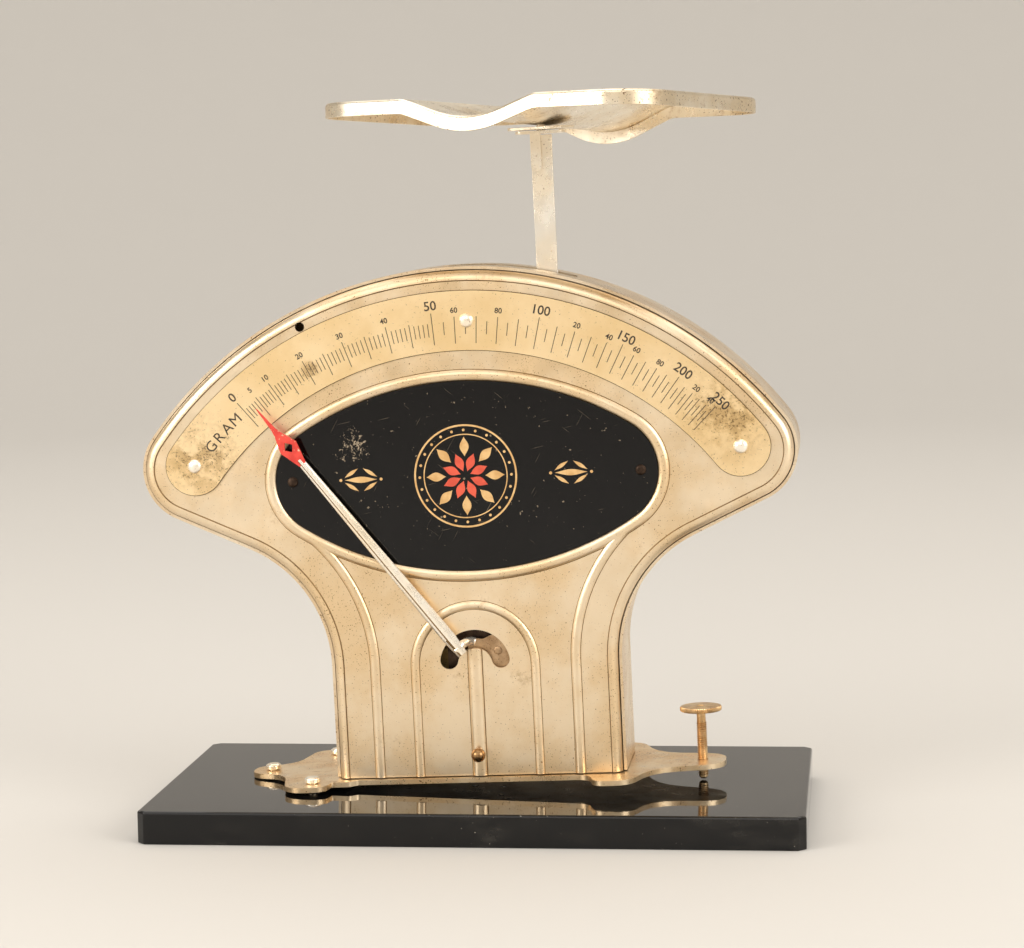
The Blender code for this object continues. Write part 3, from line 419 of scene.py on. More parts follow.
def sweep(name: str, path: Sequence[Sequence[float]], section: Loop, cyclic: bool = False,
          upright: bool = True) -> Piece:
    """Make a bar of a given cross-section along a path.

    Args:
        name: The piece's name.
        path: Points in XZ for an upright path, or in XYZ for one in space.
        section: Closed cross-section; its second axis looks to the front of an upright path.
        cyclic: Whether the path closes on itself.
        upright: Whether the path is flat in XZ.

    Returns:
        The piece, in millimetres, with its upright path at y = 0.
    """
    holder = linked(name + "_section", polyline(name + "_section", [section]))
    curve = polyline(name, [path], cyclic, "2D" if upright else "3D")
    curve.twist_mode = "Z_UP"
    curve.bevel_mode = "OBJECT"
    curve.bevel_object = holder
    curve.use_fill_caps = not cyclic
    piece = meshed(curve)
    bpy.data.objects.remove(holder)
    if upright:
        piece.data.transform(Facing.FRONT.value)
    clean(piece)
    return piece


def lathe(name: str, profile: Sequence[Point], sides: int, closed: bool = True) -> Piece:
    """Turn a round piece by extruding and sizing a circle ring by ring.

    Args:
        name: The piece's name.
        profile: Radius and height of each ring; the first ring is closed with a face.
        sides: Sides of the rings.
        closed: Whether the last ring is closed too; an open piece is a bowl seen from inside.

    Returns:
        The piece, about the Z axis.
    """
    radius, height = profile[0]
    bpy.ops.object.select_all(action="DESELECT")
    bpy.ops.mesh.primitive_circle_add(vertices=sides, radius=radius, fill_type="NGON",
                                      location=(0, 0, height))
    piece = bpy.context.object
    piece.name = piece.data.name = name
    bpy.ops.object.transform_apply(location=True, rotation=False, scale=False)
    bpy.ops.object.mode_set(mode="EDIT")
    bpy.ops.mesh.select_mode(type="EDGE")
    bpy.ops.mesh.select_all(action="SELECT")
    for ring, level in profile[1:]:
        rise = {"value": (0.0, 0.0, level - height)}
        bpy.ops.mesh.extrude_edges_move(TRANSFORM_OT_translate=rise)
        bpy.ops.transform.resize(value=(ring / radius, ring / radius, 1.0),
                                 center_override=(0.0, 0.0, level))
        radius, height = ring, level
    if closed:
        bpy.ops.mesh.edge_face_add()
    bpy.ops.mesh.select_all(action="SELECT")
    bpy.ops.mesh.normals_make_consistent(inside=not closed)
    bpy.ops.object.mode_set(mode="OBJECT")
    return piece


def turned(name: str, profile: Sequence[Point], place: Sequence[float],
           facing: Facing = Facing.UP, sides: int = 32) -> Piece:
    """Turn a closed round piece and put height zero of its axis at a place.

    Args:
        name: The piece's name.
        profile: Radius and height of each ring, from the top down.
        place: Where height zero of the axis goes.
        facing: Way that the top looks.
        sides: Sides of the rings.

    Returns:
        The piece, in millimetres.
    """
    piece = lathe(name, profile, sides)
    piece.data.transform(Matrix.Translation(Vector(place)) @ facing.value)
    return piece


def dome(radius: float, rise: float, steps: int = 7) -> list[Point]:
    """Return the profile of a round head above height zero.

    Args:
        radius: Radius of its foot.
        rise: Its height.
        steps: Number of chords.

    Returns:
        Radius and height of each ring, from the top down.
    """
    turns = [math.pi / 2.0 * (1.0 - (i + 0.35) / (steps + 0.35)) for i in range(steps + 1)]
    return [(radius * math.cos(t), rise * math.sin(t)) for t in turns]


def cut(piece: Piece, tools: Iterable[Piece], operation: str = "DIFFERENCE") -> None:
    """Cut other solids out of a piece, or melt them into it, and remove them.

    Args:
        piece: The piece that stays.
        tools: The solids that shape it.
        operation: DIFFERENCE or UNION.
    """
    for tool in tools:
        apply_modifier(piece, "BOOLEAN", operation=operation, object=tool, solver="EXACT")
        bpy.data.objects.remove(tool)


def join(name: str, parts: Sequence[Piece]) -> Piece:
    """Join loose shapes into one piece.

    Args:
        name: The piece's name.
        parts: The shapes.

    Returns:
        The piece.
    """
    bpy.ops.object.select_all(action="DESELECT")
    for part in parts:
        part.select_set(True)
    bpy.context.view_layer.objects.active = parts[0]
    if len(parts) > 1:
        bpy.ops.object.join()
    parts[0].name = parts[0].data.name = name
    return parts[0]


def finish(piece: Piece, body: Body, material: bpy.types.Material,
           stands_for: Sequence[str] = (), smooth: float = 35.0,
           to_frame: Optional[Matrix] = None) -> Piece:
    """Place a modelled piece in the frame, dress it and hang it on its body.

    Args:
        piece: The piece, in upright millimetres.
        body: The body that it rides on.
        material: Its material.
        stands_for: Frame nodes that it replaces.
        smooth: Angle in degrees under which edges are shaded smooth.
        to_frame: Matrix from the piece's mesh to the frame, or None for the scale's stance.

    Returns:
        The piece.
    """
    piece.data.transform(STANCE.matrix if to_frame is None else to_frame)
    piece.matrix_world = Matrix.Identity(4)
    piece.data.materials.clear()
    piece.data.materials.append(material)
    select_only(piece)
    bpy.ops.object.shade_smooth_by_angle(angle=math.radians(smooth))
    apply_modifier(piece, "WEIGHTED_NORMAL", keep_sharp=True, weight=50)
    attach(piece, body.value)
    if stands_for:
        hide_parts(*stands_for)
    LOG.info("%s on %s: %d faces", piece.name, body.value, len(piece.data.polygons))
    return piece


def second_finish(piece: Piece, material: bpy.types.Material, places: Sequence[bool]) -> None:
    """Give some faces of a finished piece a second material.

    Args:
        piece: The piece.
        material: The second material.
        places: For each face, whether it takes that material.
    """
    piece.data.materials.append(material)
    piece.data.polygons.foreach_set("material_index", [int(taken) for taken in places])


def rounded_copy(node: str, edge: float, body: Body,
                 material: bpy.types.Material) -> Piece:
    """Stand in for a frame node with the same solid, its edges broken.

    Args:
        node: The frame node, which also gives the new piece its name.
        edge: Radius of the broken edges in millimetres.
        body: The body that it rides on.
        material: Its material.

    Returns:
        The new piece.
    """
    piece = linked(node + "_finished", frame["nodes"][node].data.copy())
    edit(piece, lambda: bpy.ops.mesh.remove_doubles(threshold=0.002 * MM),
         lambda: bpy.ops.mesh.dissolve_limited(angle_limit=math.radians(0.5)))
    break_edges(piece, edge * MM, 3, 32.0, harden_normals=False)
    return finish(piece, body, material, [node], smooth=40.0, to_frame=Matrix.Identity(4))


# Materials -------------------------------------------------------------------------------------


def linear(code: str) -> tuple[float, float, float, float]:
    """Turn an sRGB hex code into linear red, green, blue and alpha."""
    parts = [int(code[i:i + 2], 16) / 255.0 for i in (1, 3, 5)]
    return (*(p / 12.92 if p <= 0.04045 else ((p + 0.055) / 1.055) ** 2.4 for p in parts), 1.0)


def add_node(tree: bpy.types.NodeTree, kind: str, inputs: Optional[dict] = None,
             **settings: object) -> bpy.types.Node:
    """Add a node with its settings and links.

    Args:
        tree: The node tree.
        kind: Blender's type of the node.
        inputs: Input name or number to a value, or to the socket that feeds it.
        settings: Values of the node's own properties.

    Returns:
        The node.
    """
    node = tree.nodes.new(kind)
    for key, value in settings.items():
        setattr(node, key, value)
    for key, value in (inputs or {}).items():
        if isinstance(value, Socket):
            tree.links.new(value, node.inputs[key])
        else:
            node.inputs[key].default_value = value
    return node


class Surface:
    """A material under construction: its tree, its shader and the object's own coordinates."""

    def __init__(self, name: str, roughness: float, metallic: float = 0.0) -> None:
        """Start a Principled material.

        Args:
            name: The material's name.
            roughness: Typical roughness.
            metallic: 1 for bare metal, 0 for anything else.
        """
        self.material = bpy.data.materials.new(name)
        self.material.use_nodes = True
        self.tree = self.material.node_tree
        self.shader = self.tree.nodes["Principled BSDF"]
        self.shader.inputs["Roughness"].default_value = roughness
        self.shader.inputs["Metallic"].default_value = metallic
        self.place = add_node(self.tree, "ShaderNodeTexCoord").outputs["Object"]

    def moved(self, centre: Sequence[float], turn: Sequence[float] = (0.0, 0.0, 0.0),
              stretch: Sequence[float] = (1.0, 1.0, 1.0)) -> Socket:
        """Return coordinates centred on a point, turned and stretched.

        Args:
            centre: The point of the frame, in metres, that becomes the origin.
            turn: Angles in radians about X, Y and Z.
            stretch: How many times longer the pattern is along each turned axis.

        Returns:
            The coordinates' socket.
        """
        inputs = {"Vector": self.place, "Location": centre, "Rotation": turn, "Scale": stretch}
        return add_node(self.tree, "ShaderNodeMapping", inputs, vector_type="TEXTURE").outputs[0]

    def noise(self, size: float, detail: float = 3.0, roughness: float = 0.55,
              where: Optional[Socket] = None, distortion: float = 0.0) -> Socket:
        """Return noise as a number from 0 to 1.

        Args:
            size: Its grain in millimetres.
            detail: Number of finer layers.
            roughness: Weight of the finer layers.
            where: Coordinates, or None for the object's own.
            distortion: How far the pattern is warped.

        Returns:
            The noise's socket.
        """
        inputs = {"Vector": where or self.place, "Scale": 1.0 / (size * MM), "Detail": detail,
                  "Roughness": roughness, "Distortion": distortion}
        return add_node(self.tree, "ShaderNodeTexNoise", inputs).outputs["Fac"]

    def step(self, value: Socket, low: float, high: float, to_low: float = 0.0,
             to_high: float = 1.0) -> Socket:
        """Return a smooth step of a value.

        Args:
            value: The value.
            low: Where the step starts.
            high: Where it ends.
            to_low: Result at its start.
            to_high: Result at its end.

        Returns:
            The result's socket.
        """
        inputs = {"Value": value, "From Min": low, "From Max": high,
                  "To Min": to_low, "To Max": to_high}
        node = add_node(self.tree, "ShaderNodeMapRange", inputs, interpolation_type="SMOOTHSTEP")
        return node.outputs["Result"]

    def clouds(self, size: float, detail: float, low: float, high: float) -> Socket:
        """Return patches of noise with edges as soft as low and high lie apart."""
        return self.step(self.noise(size, detail), low, high)

    def away(self, centre: Vector) -> Socket:
        """Return the distance from a point of the frame, in metres."""
        node = add_node(self.tree, "ShaderNodeVectorMath", {0: self.place, 1: centre},
                        operation="DISTANCE")
        return node.outputs["Value"]

    def math(self, operation: str, *values: Value) -> Socket:
        """Return several numbers combined, from the first to the last.

        Args:
            operation: Blender's name of the operation.
            values: The numbers.

        Returns:
            The result's socket.
        """
        result, *others = values
        for value in others:
            node = add_node(self.tree, "ShaderNodeMath", {0: result, 1: value}, operation=operation)
            result = node.outputs[0]
        return result

    def times(self, *values: Value) -> Socket:
        """Return the product of several numbers."""
        return self.math("MULTIPLY", *values)

    def plus(self, *values: Value) -> Socket:
        """Return the sum of several numbers."""
        return self.math("ADD", *values)

    def less(self, first: Value, second: Value) -> Socket:
        """Return the first number less the second."""
        return self.math("SUBTRACT", first, second)

    def most(self, *values: Value) -> Socket:
        """Return the greatest of several numbers."""
        return self.math("MAXIMUM", *values)

    def blend(self, amount: Socket, under: Union[Socket, str], over: Union[Socket, str]) -> Socket:
        """Return one colour laid over another.

        Args:
            amount: How much the upper one covers, from 0 to 1.
            under: The lower colour, as a socket or a hex code.
            over: The upper colour.

        Returns:
            The colour's socket.
        """
        colours = [linear(c) if isinstance(c, str) else c for c in (under, over)]
        inputs = {0: amount, 6: colours[0], 7: colours[1]}
        return add_node(self.tree, "ShaderNodeMix", inputs, data_type="RGBA").outputs[2]

    def finish(self, colour: Socket, roughness: Socket, height: Socket,
               depth: float) -> bpy.types.Material:
        """Connect the shader and return the material.

        Args:
            colour: Base colour.
            roughness: Roughness.
            height: Relief from 0 to 1.
            depth: What a relief of 1 stands for, in millimetres.

        Returns:
            The material.
        """
        inputs = {"Height": height, "Distance": depth * MM, "Strength": 1.0}
        bump = add_node(self.tree, "ShaderNodeBump", inputs)
        ends = {"Base Color": colour, "Roughness": roughness, "Normal": bump.outputs["Normal"]}
        for name, socket in ends.items():
            self.tree.links.new(socket, self.shader.inputs[name])
        return self.material


@dataclass(frozen=True)
class AgedPlate:
    """Plating over brass or steel sheet, yellowed, with specks where it has worn through."""

    name: str
    metal: str
    warm: str
    tarnish: str
    speck: str
    roughness: float = 0.34
    grain: float = 0.45
    cloud: float = 22.0
    tarnish_from: float = 0.56
    tarnish_blur: float = 0.16
    tarnish_share: float = 0.75
    speck_from: float = 0.66
    speck_blur: float = 0.06
    speck_rough: float = 0.3
    relief: float = 0.02
    satin: tuple[float, float] = (0.22, 0.35)
    metallic: float = 1.0

    def build(self) -> bpy.types.Material:
        """Return the material."""
        look = Surface(self.name, self.roughness, self.metallic)
        broad = look.noise(self.cloud, 5.0, 0.6)
        colour = look.blend(look.step(broad, 0.36, 0.64), self.metal, self.warm)
        patches = look.noise(self.cloud * 0.6, 6.0, 0.7, look.moved((0.31, 0.17, 0.05)))
        film = look.step(patches, self.tarnish_from, self.tarnish_from + self.tarnish_blur)
        film = look.times(film, look.step(look.noise(self.grain * 2.2, 3.0, 0.6), 0.30, 0.62))
        colour = look.blend(look.times(film, self.tarnish_share), colour, self.tarnish)
        bias = look.step(broad, 0.30, 0.75, -0.035, 0.05)
        fine = look.plus(bias, look.noise(self.grain, 2.0, 0.5))
        specks = look.step(fine, self.speck_from, self.speck_from + self.speck_blur)
        colour = look.blend(specks, colour, self.speck)
        rough = look.plus(look.step(patches, 0.3, 0.75, -0.05, 0.14), self.roughness,
                          look.times(specks, self.speck_rough))
        size, share = self.satin
        satin = look.times(look.noise(size, 1.0), share)
        return look.finish(colour, rough, look.less(satin, specks), self.relief)


@dataclass(frozen=True)
class DialBrass:
    """Lacquered brass: even and yellow, with black tarnish dots gathered at given places."""

    metal: str = "#fde3b6"
    warm: str = "#f2d4a0"
    film: str = "#8f7142"
    dots: str = "#4a3a22"
    roughness: float = 0.38
    relief: float = 0.008

    def build(self, ends: Sequence[tuple[Vector, float]]) -> bpy.types.Material:
        """Return the material.

        Args:
            ends: Centre, in metres, and reach, in millimetres, of each tarnished area.

        Returns:
            The material.
        """
        look = Surface("lacquered_brass_dial", self.roughness, 1.0)
        broad = look.noise(20.0, 5.0, 0.6)
        colour = look.blend(look.step(broad, 0.36, 0.66), self.metal, self.warm)
        reach = look.most(*(look.step(look.away(centre), 0.25 * size * MM, size * MM, 1.0, 0.0)
                            for centre, size in ends))
        grime = look.times(reach, look.step(look.noise(5.0, 4.0, 0.7), 0.35, 0.62))
        colour = look.blend(look.times(grime, 0.55), colour, self.film)
        dots = look.plus(look.noise(0.5, 2.0, 0.6), look.times(grime, 0.14))
        dots = look.step(dots, 0.68, 0.73)
        colour = look.blend(look.times(dots, 0.6), colour, self.dots)
        rough = look.plus(look.times(grime, 0.22), self.roughness)
        return look.finish(colour, rough, look.less(look.noise(0.2, 1.0), dots), self.relief)


@dataclass(frozen=True)
class ScuffedLacquer:
    """Glossy black stoving lacquer with hair scratches, matt rubs and dust."""

    name: str = "black_stoving_lacquer"
    black: str = "#070606"
    bared: str = "#b9a88e"
    roughness: float = 0.14
    gloss: float = 0.3
    relief: float = 0.01
    scratch_turns: tuple[float, ...] = (0.5, -0.9, 1.35)
    scratch_length: float = 26.0

    def build(self, rub: Vector) -> bpy.types.Material:
        """Return the material.

        Args:
            rub: Middle of the worst rub, in metres.

        Returns:
            The material.
        """
        look = Surface(self.name, self.roughness)
        look.shader.inputs["Specular IOR Level"].default_value = self.gloss
        lines = []
        for number, turn in enumerate(self.scratch_turns):
            where = look.moved((0.013 * number, 0.0, 0.0), (0.0, turn, 0.0),
                               (1.0, 1.0, self.scratch_length))
            lines.append(look.step(look.noise(0.4, 1.0, 0.4, where), 0.755, 0.78))
        scratches = look.times(look.most(*lines), look.clouds(9.0, 3.0, 0.42, 0.6))
        near = look.step(look.away(rub), 0.001, 0.010, 0.13, -0.12)
        rubbed = look.plus(look.noise(1.7, 5.0, 0.75, distortion=1.2), near)
        bias = look.step(look.noise(16.0, 2.0), 0.3, 0.7, -0.07, 0.05)
        flakes = look.step(look.plus(look.noise(1.3, 2.0, 0.6), bias), 0.715, 0.75)
        worn = look.most(look.step(rubbed, 0.64, 0.70), look.times(flakes, 0.6))
        dust = look.step(look.noise(0.45, 1.0, 0.3), 0.78, 0.82)
        marks = look.most(look.times(scratches, 0.2), look.times(worn, 0.7),
                          look.times(dust, 0.5))
        colour = look.blend(marks, self.black, self.bared)
        haze = look.step(look.noise(11.0, 4.0), 0.3, 0.7, 0.08, 0.2)
        rough = look.plus(look.times(marks, 0.5), haze)
        return look.finish(colour, rough, marks, self.relief)


@dataclass(frozen=True)
class DustyGlass:
    """Polished black glass: mirror bright, with settled dust and faint wiping marks."""

    name: str = "polished_black_glass"
    black: str = "#060607"
    dust: str = "#cfc7b8"
    roughness: float = 0.03
    ior: float = 1.52
    gloss: float = 0.35
    relief: float = 0.008

    def build(self) -> bpy.types.Material:
        """Return the material."""
        look = Surface(self.name, self.roughness)
        look.shader.inputs["IOR"].default_value = self.ior
        look.shader.inputs["Specular IOR Level"].default_value = self.gloss
        cloud = look.step(look.noise(26.0, 5.0, 0.65), 0.42, 0.72)
        wiped = look.moved((0.0, 0.0, 0.0), (0.0, 0.0, 0.35), (6.0, 1.0, 1.0))
        film = look.times(cloud, look.step(look.noise(3.5, 4.0, 0.6, wiped), 0.38, 0.72))
        grains = look.step(look.noise(0.5, 1.0, 0.3), 0.765, 0.80)
        dust = look.times(grains, look.clouds(14.0, 3.0, 0.35, 0.65))
        veil = look.most(look.times(film, 0.035), look.times(dust, 0.6))
        colour = look.blend(veil, self.black, self.dust)
        rough = look.plus(look.times(film, 0.10), look.times(dust, 0.4), self.roughness)
        return look.finish(colour, rough, dust, self.relief)


@dataclass(frozen=True)
class ChippedPaint:
    """Brushed enamel on metal, thin enough to chip to the sheet beneath."""

    name: str
    paint: str
    shade: str
    under: str
    roughness: float = 0.42
    chip_from: float = 0.64
    chip_blur: float = 0.04
    relief: float = 0.02

    def build(self) -> bpy.types.Material:
        """Return the material."""
        look = Surface(self.name, self.roughness)
        colour = look.blend(look.clouds(3.0, 3.0, 0.35, 0.65), self.paint, self.shade)
        chips = look.step(look.noise(0.9, 3.0, 0.6), self.chip_from,
                          self.chip_from + self.chip_blur)
        colour = look.blend(chips, colour, self.under)
        rough = look.step(look.noise(1.2, 2.0), 0.3, 0.7, self.roughness - 0.06,
                          self.roughness + 0.1)
        return look.finish(colour, rough, look.less(1.0, chips), self.relief)


class Finishes:
    """Every finish of the scale."""

    def __init__(self) -> None:
        """Build the materials that need no place of their own."""
        self.sheet = self.plated("nickelled_sheet_satin", "#f2dfc1 #e7cca3 #b99a6b #8a6741",
                                 grain=0.38, speck_from=0.665, tarnish_from=0.60)
        self.case_wall = self.plated("nickelled_wall_satin", "#f2e1c6 #e5cca8 #b99769 #7d5a38",
                                     roughness=0.30)
        self.pan = self.plated("nickelled_pan_worn", "#f8eedb #ead8ba #b3946c #6e4e33",
                               roughness=0.28, cloud=16.0, speck_from=0.655, grain=0.5)
        self.plate = self.plated("nickelled_foot_plate_browned",
                                 "#fbe4bf #ecca9a #b78f5d #6b4a2d", roughness=0.30, cloud=12.0,
                                 tarnish_from=0.54, speck_from=0.65)
        self.bright = self.plated("nickelled_bright", "#fffaf0 #fff1d9 #d8bb8d #86623c",
                                  roughness=0.24, tarnish_from=0.65, speck_from=0.70,
                                  metallic=0.85)
        self.screw = self.plated("turned_brass_matt", "#e6c99c #cda675 #8c6a43 #4b321b",
                                 roughness=0.33, cloud=4.0, grain=0.3)
        self.weight = self.plated("cast_brass_weight", "#9c8457 #83693f #5a4529 #35281a",
                                  roughness=0.5, cloud=9.0)
        self.dark = self.plated("blackened_steel_rivet", "#4b3d33 #372c25 #241c17 #18120e",
                                roughness=0.4, cloud=2.0, grain=0.3)
        # Dark plating for the dial's edge faces: dirt, and a painted shadow of the gap round the
        # dial.
        self.edge = self.plated("brass_edge_dirt_and_painted_shadow", "#6e5632 #574325 #3a2c18 #241a0e",
                                roughness=0.5, cloud=4.0)
        # Darker plating for the rim's groove, the beads' feet and the pointer's seam: painted shade
        # in these creases.
        self.grime = self.plated("painted_crevice_shade", "#8d7048 #755b38 #4c3a24 #34271a",
                                 roughness=0.5, cloud=5.0, metallic=0.6)
        self.bronze = self.plated("bronze_screw_head", "#a5825a #8a6844 #5e432a #3a291b",
                                  roughness=0.25, cloud=3.0, grain=0.3)
        # Darker copy of the nickel plating for the lever and its rivet: painted shade, as they sit
        # in the shadow behind the face.
        self.dull = self.plated("nickelled_lever_painted_shade", "#c9ab88 #a98a68 #76593d #4a3525",
                                roughness=0.42, cloud=5.0, grain=0.3)
        self.glass = DustyGlass().build()
        self.red = self.painted("red_enamel_chipped", "#e0473a #c9342a #ecd2ad")
        self.ink = self.painted("black_engraving_wax", "#2a2118 #3a2e20 #8f7446",
                                roughness=0.6, chip_from=0.70)
        self.gold = self.painted("gold_transfer_print", "#d9b47c #c79c62 #0b0a0a",
                                 roughness=0.45, chip_from=0.70)
        self.coral = self.painted("coral_transfer_print", "#d8583f #c64a34 #0b0a0a",
                                  chip_from=0.72)

    @staticmethod
    def plated(name: str, colours: str, **settings: float) -> bpy.types.Material:
        """Return an aged plating; its colours are metal, warm tint, tarnish and specks."""
        return AgedPlate(name, *colours.split(), **settings).build()

    @staticmethod
    def painted(name: str, colours: str, **settings: float) -> bpy.types.Material:
        """Return a chipped paint; its colours are paint, shade and what lies beneath."""
        return ChippedPaint(name, *colours.split(), **settings).build()


# Sub-assemblies --------------------------------------------------------------------------------


@dataclass
class Case:
    """Two-part case of pressed sheet: a face with beads, and a deep back that slides into it."""

    finishes: Finishes
    foot: float = 11.7
    top_radius: float = 108.4
    lobe_radius: float = 13.8
    lobe_angle: float = math.radians(53.2)
    waist: float = 39.3
    throat_radius: float = 37.7
    throat_lift: float = 0.6
    face_y: float = -17.0
    back_y: float = 16.0
    sheet: float = 0.8
    rim_radius: float = 2.4
    skirt: float = 7.0
    wall_start: float = 2.9
    wall_out: float = 1.1
    back_edge: float = 1.6
    rim_land: float = 0.15
    rim_step: float = 0.35
    groove: float = 0.3
    bead_rise: float = 0.9
    bead_flank: float = math.radians(60.0)
    bead_root: float = 0.4
    eye_lift: float = 52.4
    eye_half_width: float = 53.0
    eye_half_height: float = 26.3
    eye_end: float = 15.2
    eye_gap: float = 1.3
    eye_bead: float = 3.3
    rib_width: float = 2.9
    arch_width: float = 2.6
    rib_inset: float = 11.4
    rib_end: float = math.radians(134.0)
    arch_radius: float = 16.7
    middle_width: float = 4.3
    middle_top: float = 5.2
    screw_drop: float = 24.6
    screw_ball: float = 2.0
    kidney: tuple[float, float, float] = (7.3, 2.5, math.radians(78.0))
    peep: tuple[float, float, float] = (104.6, math.radians(-24.8), 1.3)
    slot: tuple[float, float, float] = (-6.0, 31.5, 4.5)

    @property
    def face(self) -> float:
        """Y of the flat face inside the rim."""
        return self.face_y + self.rim_step

    @property
    def eye_z(self) -> float:
        """Height of the middle of the eye."""
        return PIVOT.z + self.eye_lift

    def outline(self, offset: float) -> Loop:
        """Return the outline of the case, its straight end at the foot.

        Args:
            offset: How far it is moved out.

        Returns:
            The closed outline.
        """
        lobe = Vector(polar(self.top_radius - self.lobe_radius, self.lobe_angle))
        throat = Vector((self.waist + self.throat_radius, PIVOT.z + self.throat_lift))
        lobe_size = self.lobe_radius + offset
        throat_size = self.throat_radius - offset
        between = throat - lobe
        shoulder = math.atan2(between.y, between.x)
        shoulder += math.acos((lobe_size + throat_size) / between.length)
        crown_end = math.pi / 2.0 - self.lobe_angle
        half = arc((PIVOT.x, PIVOT.z), self.top_radius + offset, math.pi / 2.0, crown_end, 36)
        half += arc(lobe, lobe_size, crown_end, shoulder, 22)[1:]
        half += arc(throat, throat_size, shoulder + math.pi, math.pi, 20)
        half.append((self.waist + offset, self.foot))
        return half + [(-x, z) for x, z in half[:0:-1]]

    def eye(self, offset: float) -> Loop:
        """Return the eye shape: two shallow arcs that meet in round ends.

        Args:
            offset: How far it is moved out.

        Returns:
            The closed outline.
        """
        height, end = self.eye_half_height, self.eye_end
        reach = self.eye_half_width - end
        radius = (reach ** 2 + height ** 2 - end ** 2) / (2.0 * (height - end))
        drop = radius - height
        turn = math.atan2(drop, reach)
        lid = arc((0.0, self.eye_z - drop), radius + offset, math.pi - turn, turn, 40)
        corner = arc((reach, self.eye_z), end + offset, turn, -turn, 18)[1:-1]
        low_lid = [(-x, 2.0 * self.eye_z - z) for x, z in lid]
        far_corner = [(-x, 2.0 * self.eye_z - z) for x, z in corner]
        return lid + corner + low_lid + far_corner

    def section(self, width: float) -> Loop:
        """Return the cross-section of a pressed bead: a round back on a root in the sheet.

        Args:
            width: Width of the bead on the sheet.

        Returns:
            The closed cross-section.
        """
        steps = 12
        radius = width / 2.0 / math.sin(self.bead_flank)
        turns = [self.bead_flank * (1.0 - 2.0 * i / steps) for i in range(steps + 1)]
        foot = math.cos(self.bead_flank)
        top = [(radius * math.sin(t), radius * (math.cos(t) - foot)) for t in turns]
        return top + [(-width / 2.0, -self.bead_root), (width / 2.0, -self.bead_root)]

    def bead(self, name: str, path: Loop, width: float, cyclic: bool = False) -> Piece:
        """Make one bead on the face.

        Args:
            name: Its name.
            path: Points of its middle line in XZ.
            width: Its width.
            cyclic: Whether the path closes on itself.

        Returns:
            The bead.
        """
        piece = sweep(name, path, self.section(width), cyclic)
        piece.data.transform(Matrix.Translation((0.0, self.face, 0.0)))
        return piece

    def beads(self) -> list[Piece]:
        """Make the beads: round the eye, beside the waist, round the pivot and down the middle."""
        start = self.foot + 2.0 * NEAR
        radius = self.throat_radius + self.rib_inset
        throat = (self.waist + self.throat_radius, PIVOT.z + self.throat_lift)
        rib = [(self.waist - self.rib_inset, start)]
        rib += arc(throat, radius, math.pi, self.rib_end, 20)
        bow = [polar(self.arch_radius, math.radians(-90.0 + 7.5 * i)) for i in range(25)]
        arch = [(-self.arch_radius, start)] + bow + [(self.arch_radius, start)]
        return [
            self.bead("eye_bead", self.eye(self.eye_gap), self.eye_bead, cyclic=True),
            self.bead("right_rib", rib, self.rib_width),
            self.bead("left_rib", [(-x, z) for x, z in rib], self.rib_width),
            self.bead("arch_rib", arch, self.arch_width),
            self.bead("middle_rib", [(0.0, PIVOT.z + self.middle_top), (0.0, start)],
                      self.middle_width),
        ]

    def sheet_part(self, name: str, offset: float, near: float, far: float, bent: float,
                   edge: float, steps: int) -> Piece:
        """Make an open tray of the case's outline with one rolled edge.

        Args:
            name: The piece's name.
            offset: How far outside the case's outline it lies.
            near: Y of its front.
            far: Y of its back.
            bent: Y of the closed side, whose edge is rolled.
            edge: Radius of the rolled edge.
            steps: Steps round that edge.

        Returns:
            The tray, without thickness.
        """
        tray = flat(name, [self.outline(offset)], near, far)
        opened = near if bent == far else far
        low = self.foot + NEAR

        def lies_at(item: object, y: float) -> bool:
            """Tell whether an edge or face lies at that Y."""
            return max(abs(v.co.y - y) for v in item.verts) < NEAR

        def stays_low(item: object) -> bool:
            """Tell whether an edge or face lies at the foot of the case."""
            return max(v.co.z for v in item.verts) < low

        merge_faces(tray)
        edit(tray,
             lambda: pick(tray, "FACE", lambda f: lies_at(f, opened) or stays_low(f)),
             lambda: bpy.ops.mesh.delete(type="FACE"),
             lambda: pick(tray, "EDGE", lambda e: lies_at(e, bent) and not stays_low(e)),
             lambda: bpy.ops.mesh.bevel(offset=edge, segments=steps, affect="EDGES"))
        return tray

    def build_front(self) -> Piece:
        """Make the pressed face with its rolled rim, beads, kidney slot and peep hole."""
        shell = self.sheet_part("front_shell_pressed", 0.0, self.face_y, self.face_y + self.skirt,
                                self.face_y, self.rim_radius, 8)
        edit(shell, lambda: pick(shell, "FACE", lambda f: f.normal.y < -0.99 and len(f.verts) > 20),
             lambda: bpy.ops.mesh.inset(thickness=self.rim_land, use_boundary=False),
             lambda: bpy.ops.mesh.inset(thickness=self.groove, depth=-self.rim_step,
                                        use_boundary=False))
        thicken(shell, self.sheet)
        cut(shell, self.beads(), "UNION")
        front, back = self.face_y - 3.0, self.face_y + 3.0
        ring, turn, radius = self.peep
        cut(shell, [flat("kidney_cut", [band(*self.kidney, 40, 16)], front, back),
                    flat("peep_cut", [disc(polar(ring, turn), radius, 28)], front, back)])
        # Faces in the groove and at the beads' feet take the darker plating: painted shade in the
        # creases.
        crevices = [self.is_crevice(face) for face in shell.data.polygons]
        finish(shell, Body.SCALE, self.finishes.sheet, ["front_shell"], smooth=30.0)
        second_finish(shell, self.finishes.grime, crevices)
        return shell

    def is_crevice(self, face: bpy.types.MeshPolygon) -> bool:
        """Tell whether a face takes the painted crease shade: in the groove or at a bead's foot.

        Args:
            face: A face of the pressing, in millimetres.

        Returns:
            Whether it slopes, and starts at the level of the flat sheet.
        """
        if face.center.z < self.foot + 0.1 or not 0.25 < -face.normal.y < 0.93:
            return False
        lows = [abs(face.id_data.vertices[i].co.y - self.face) for i in face.vertices]
        return self.face_y + 0.02 < face.center.y < self.face - 0.02 and min(lows) < 0.04

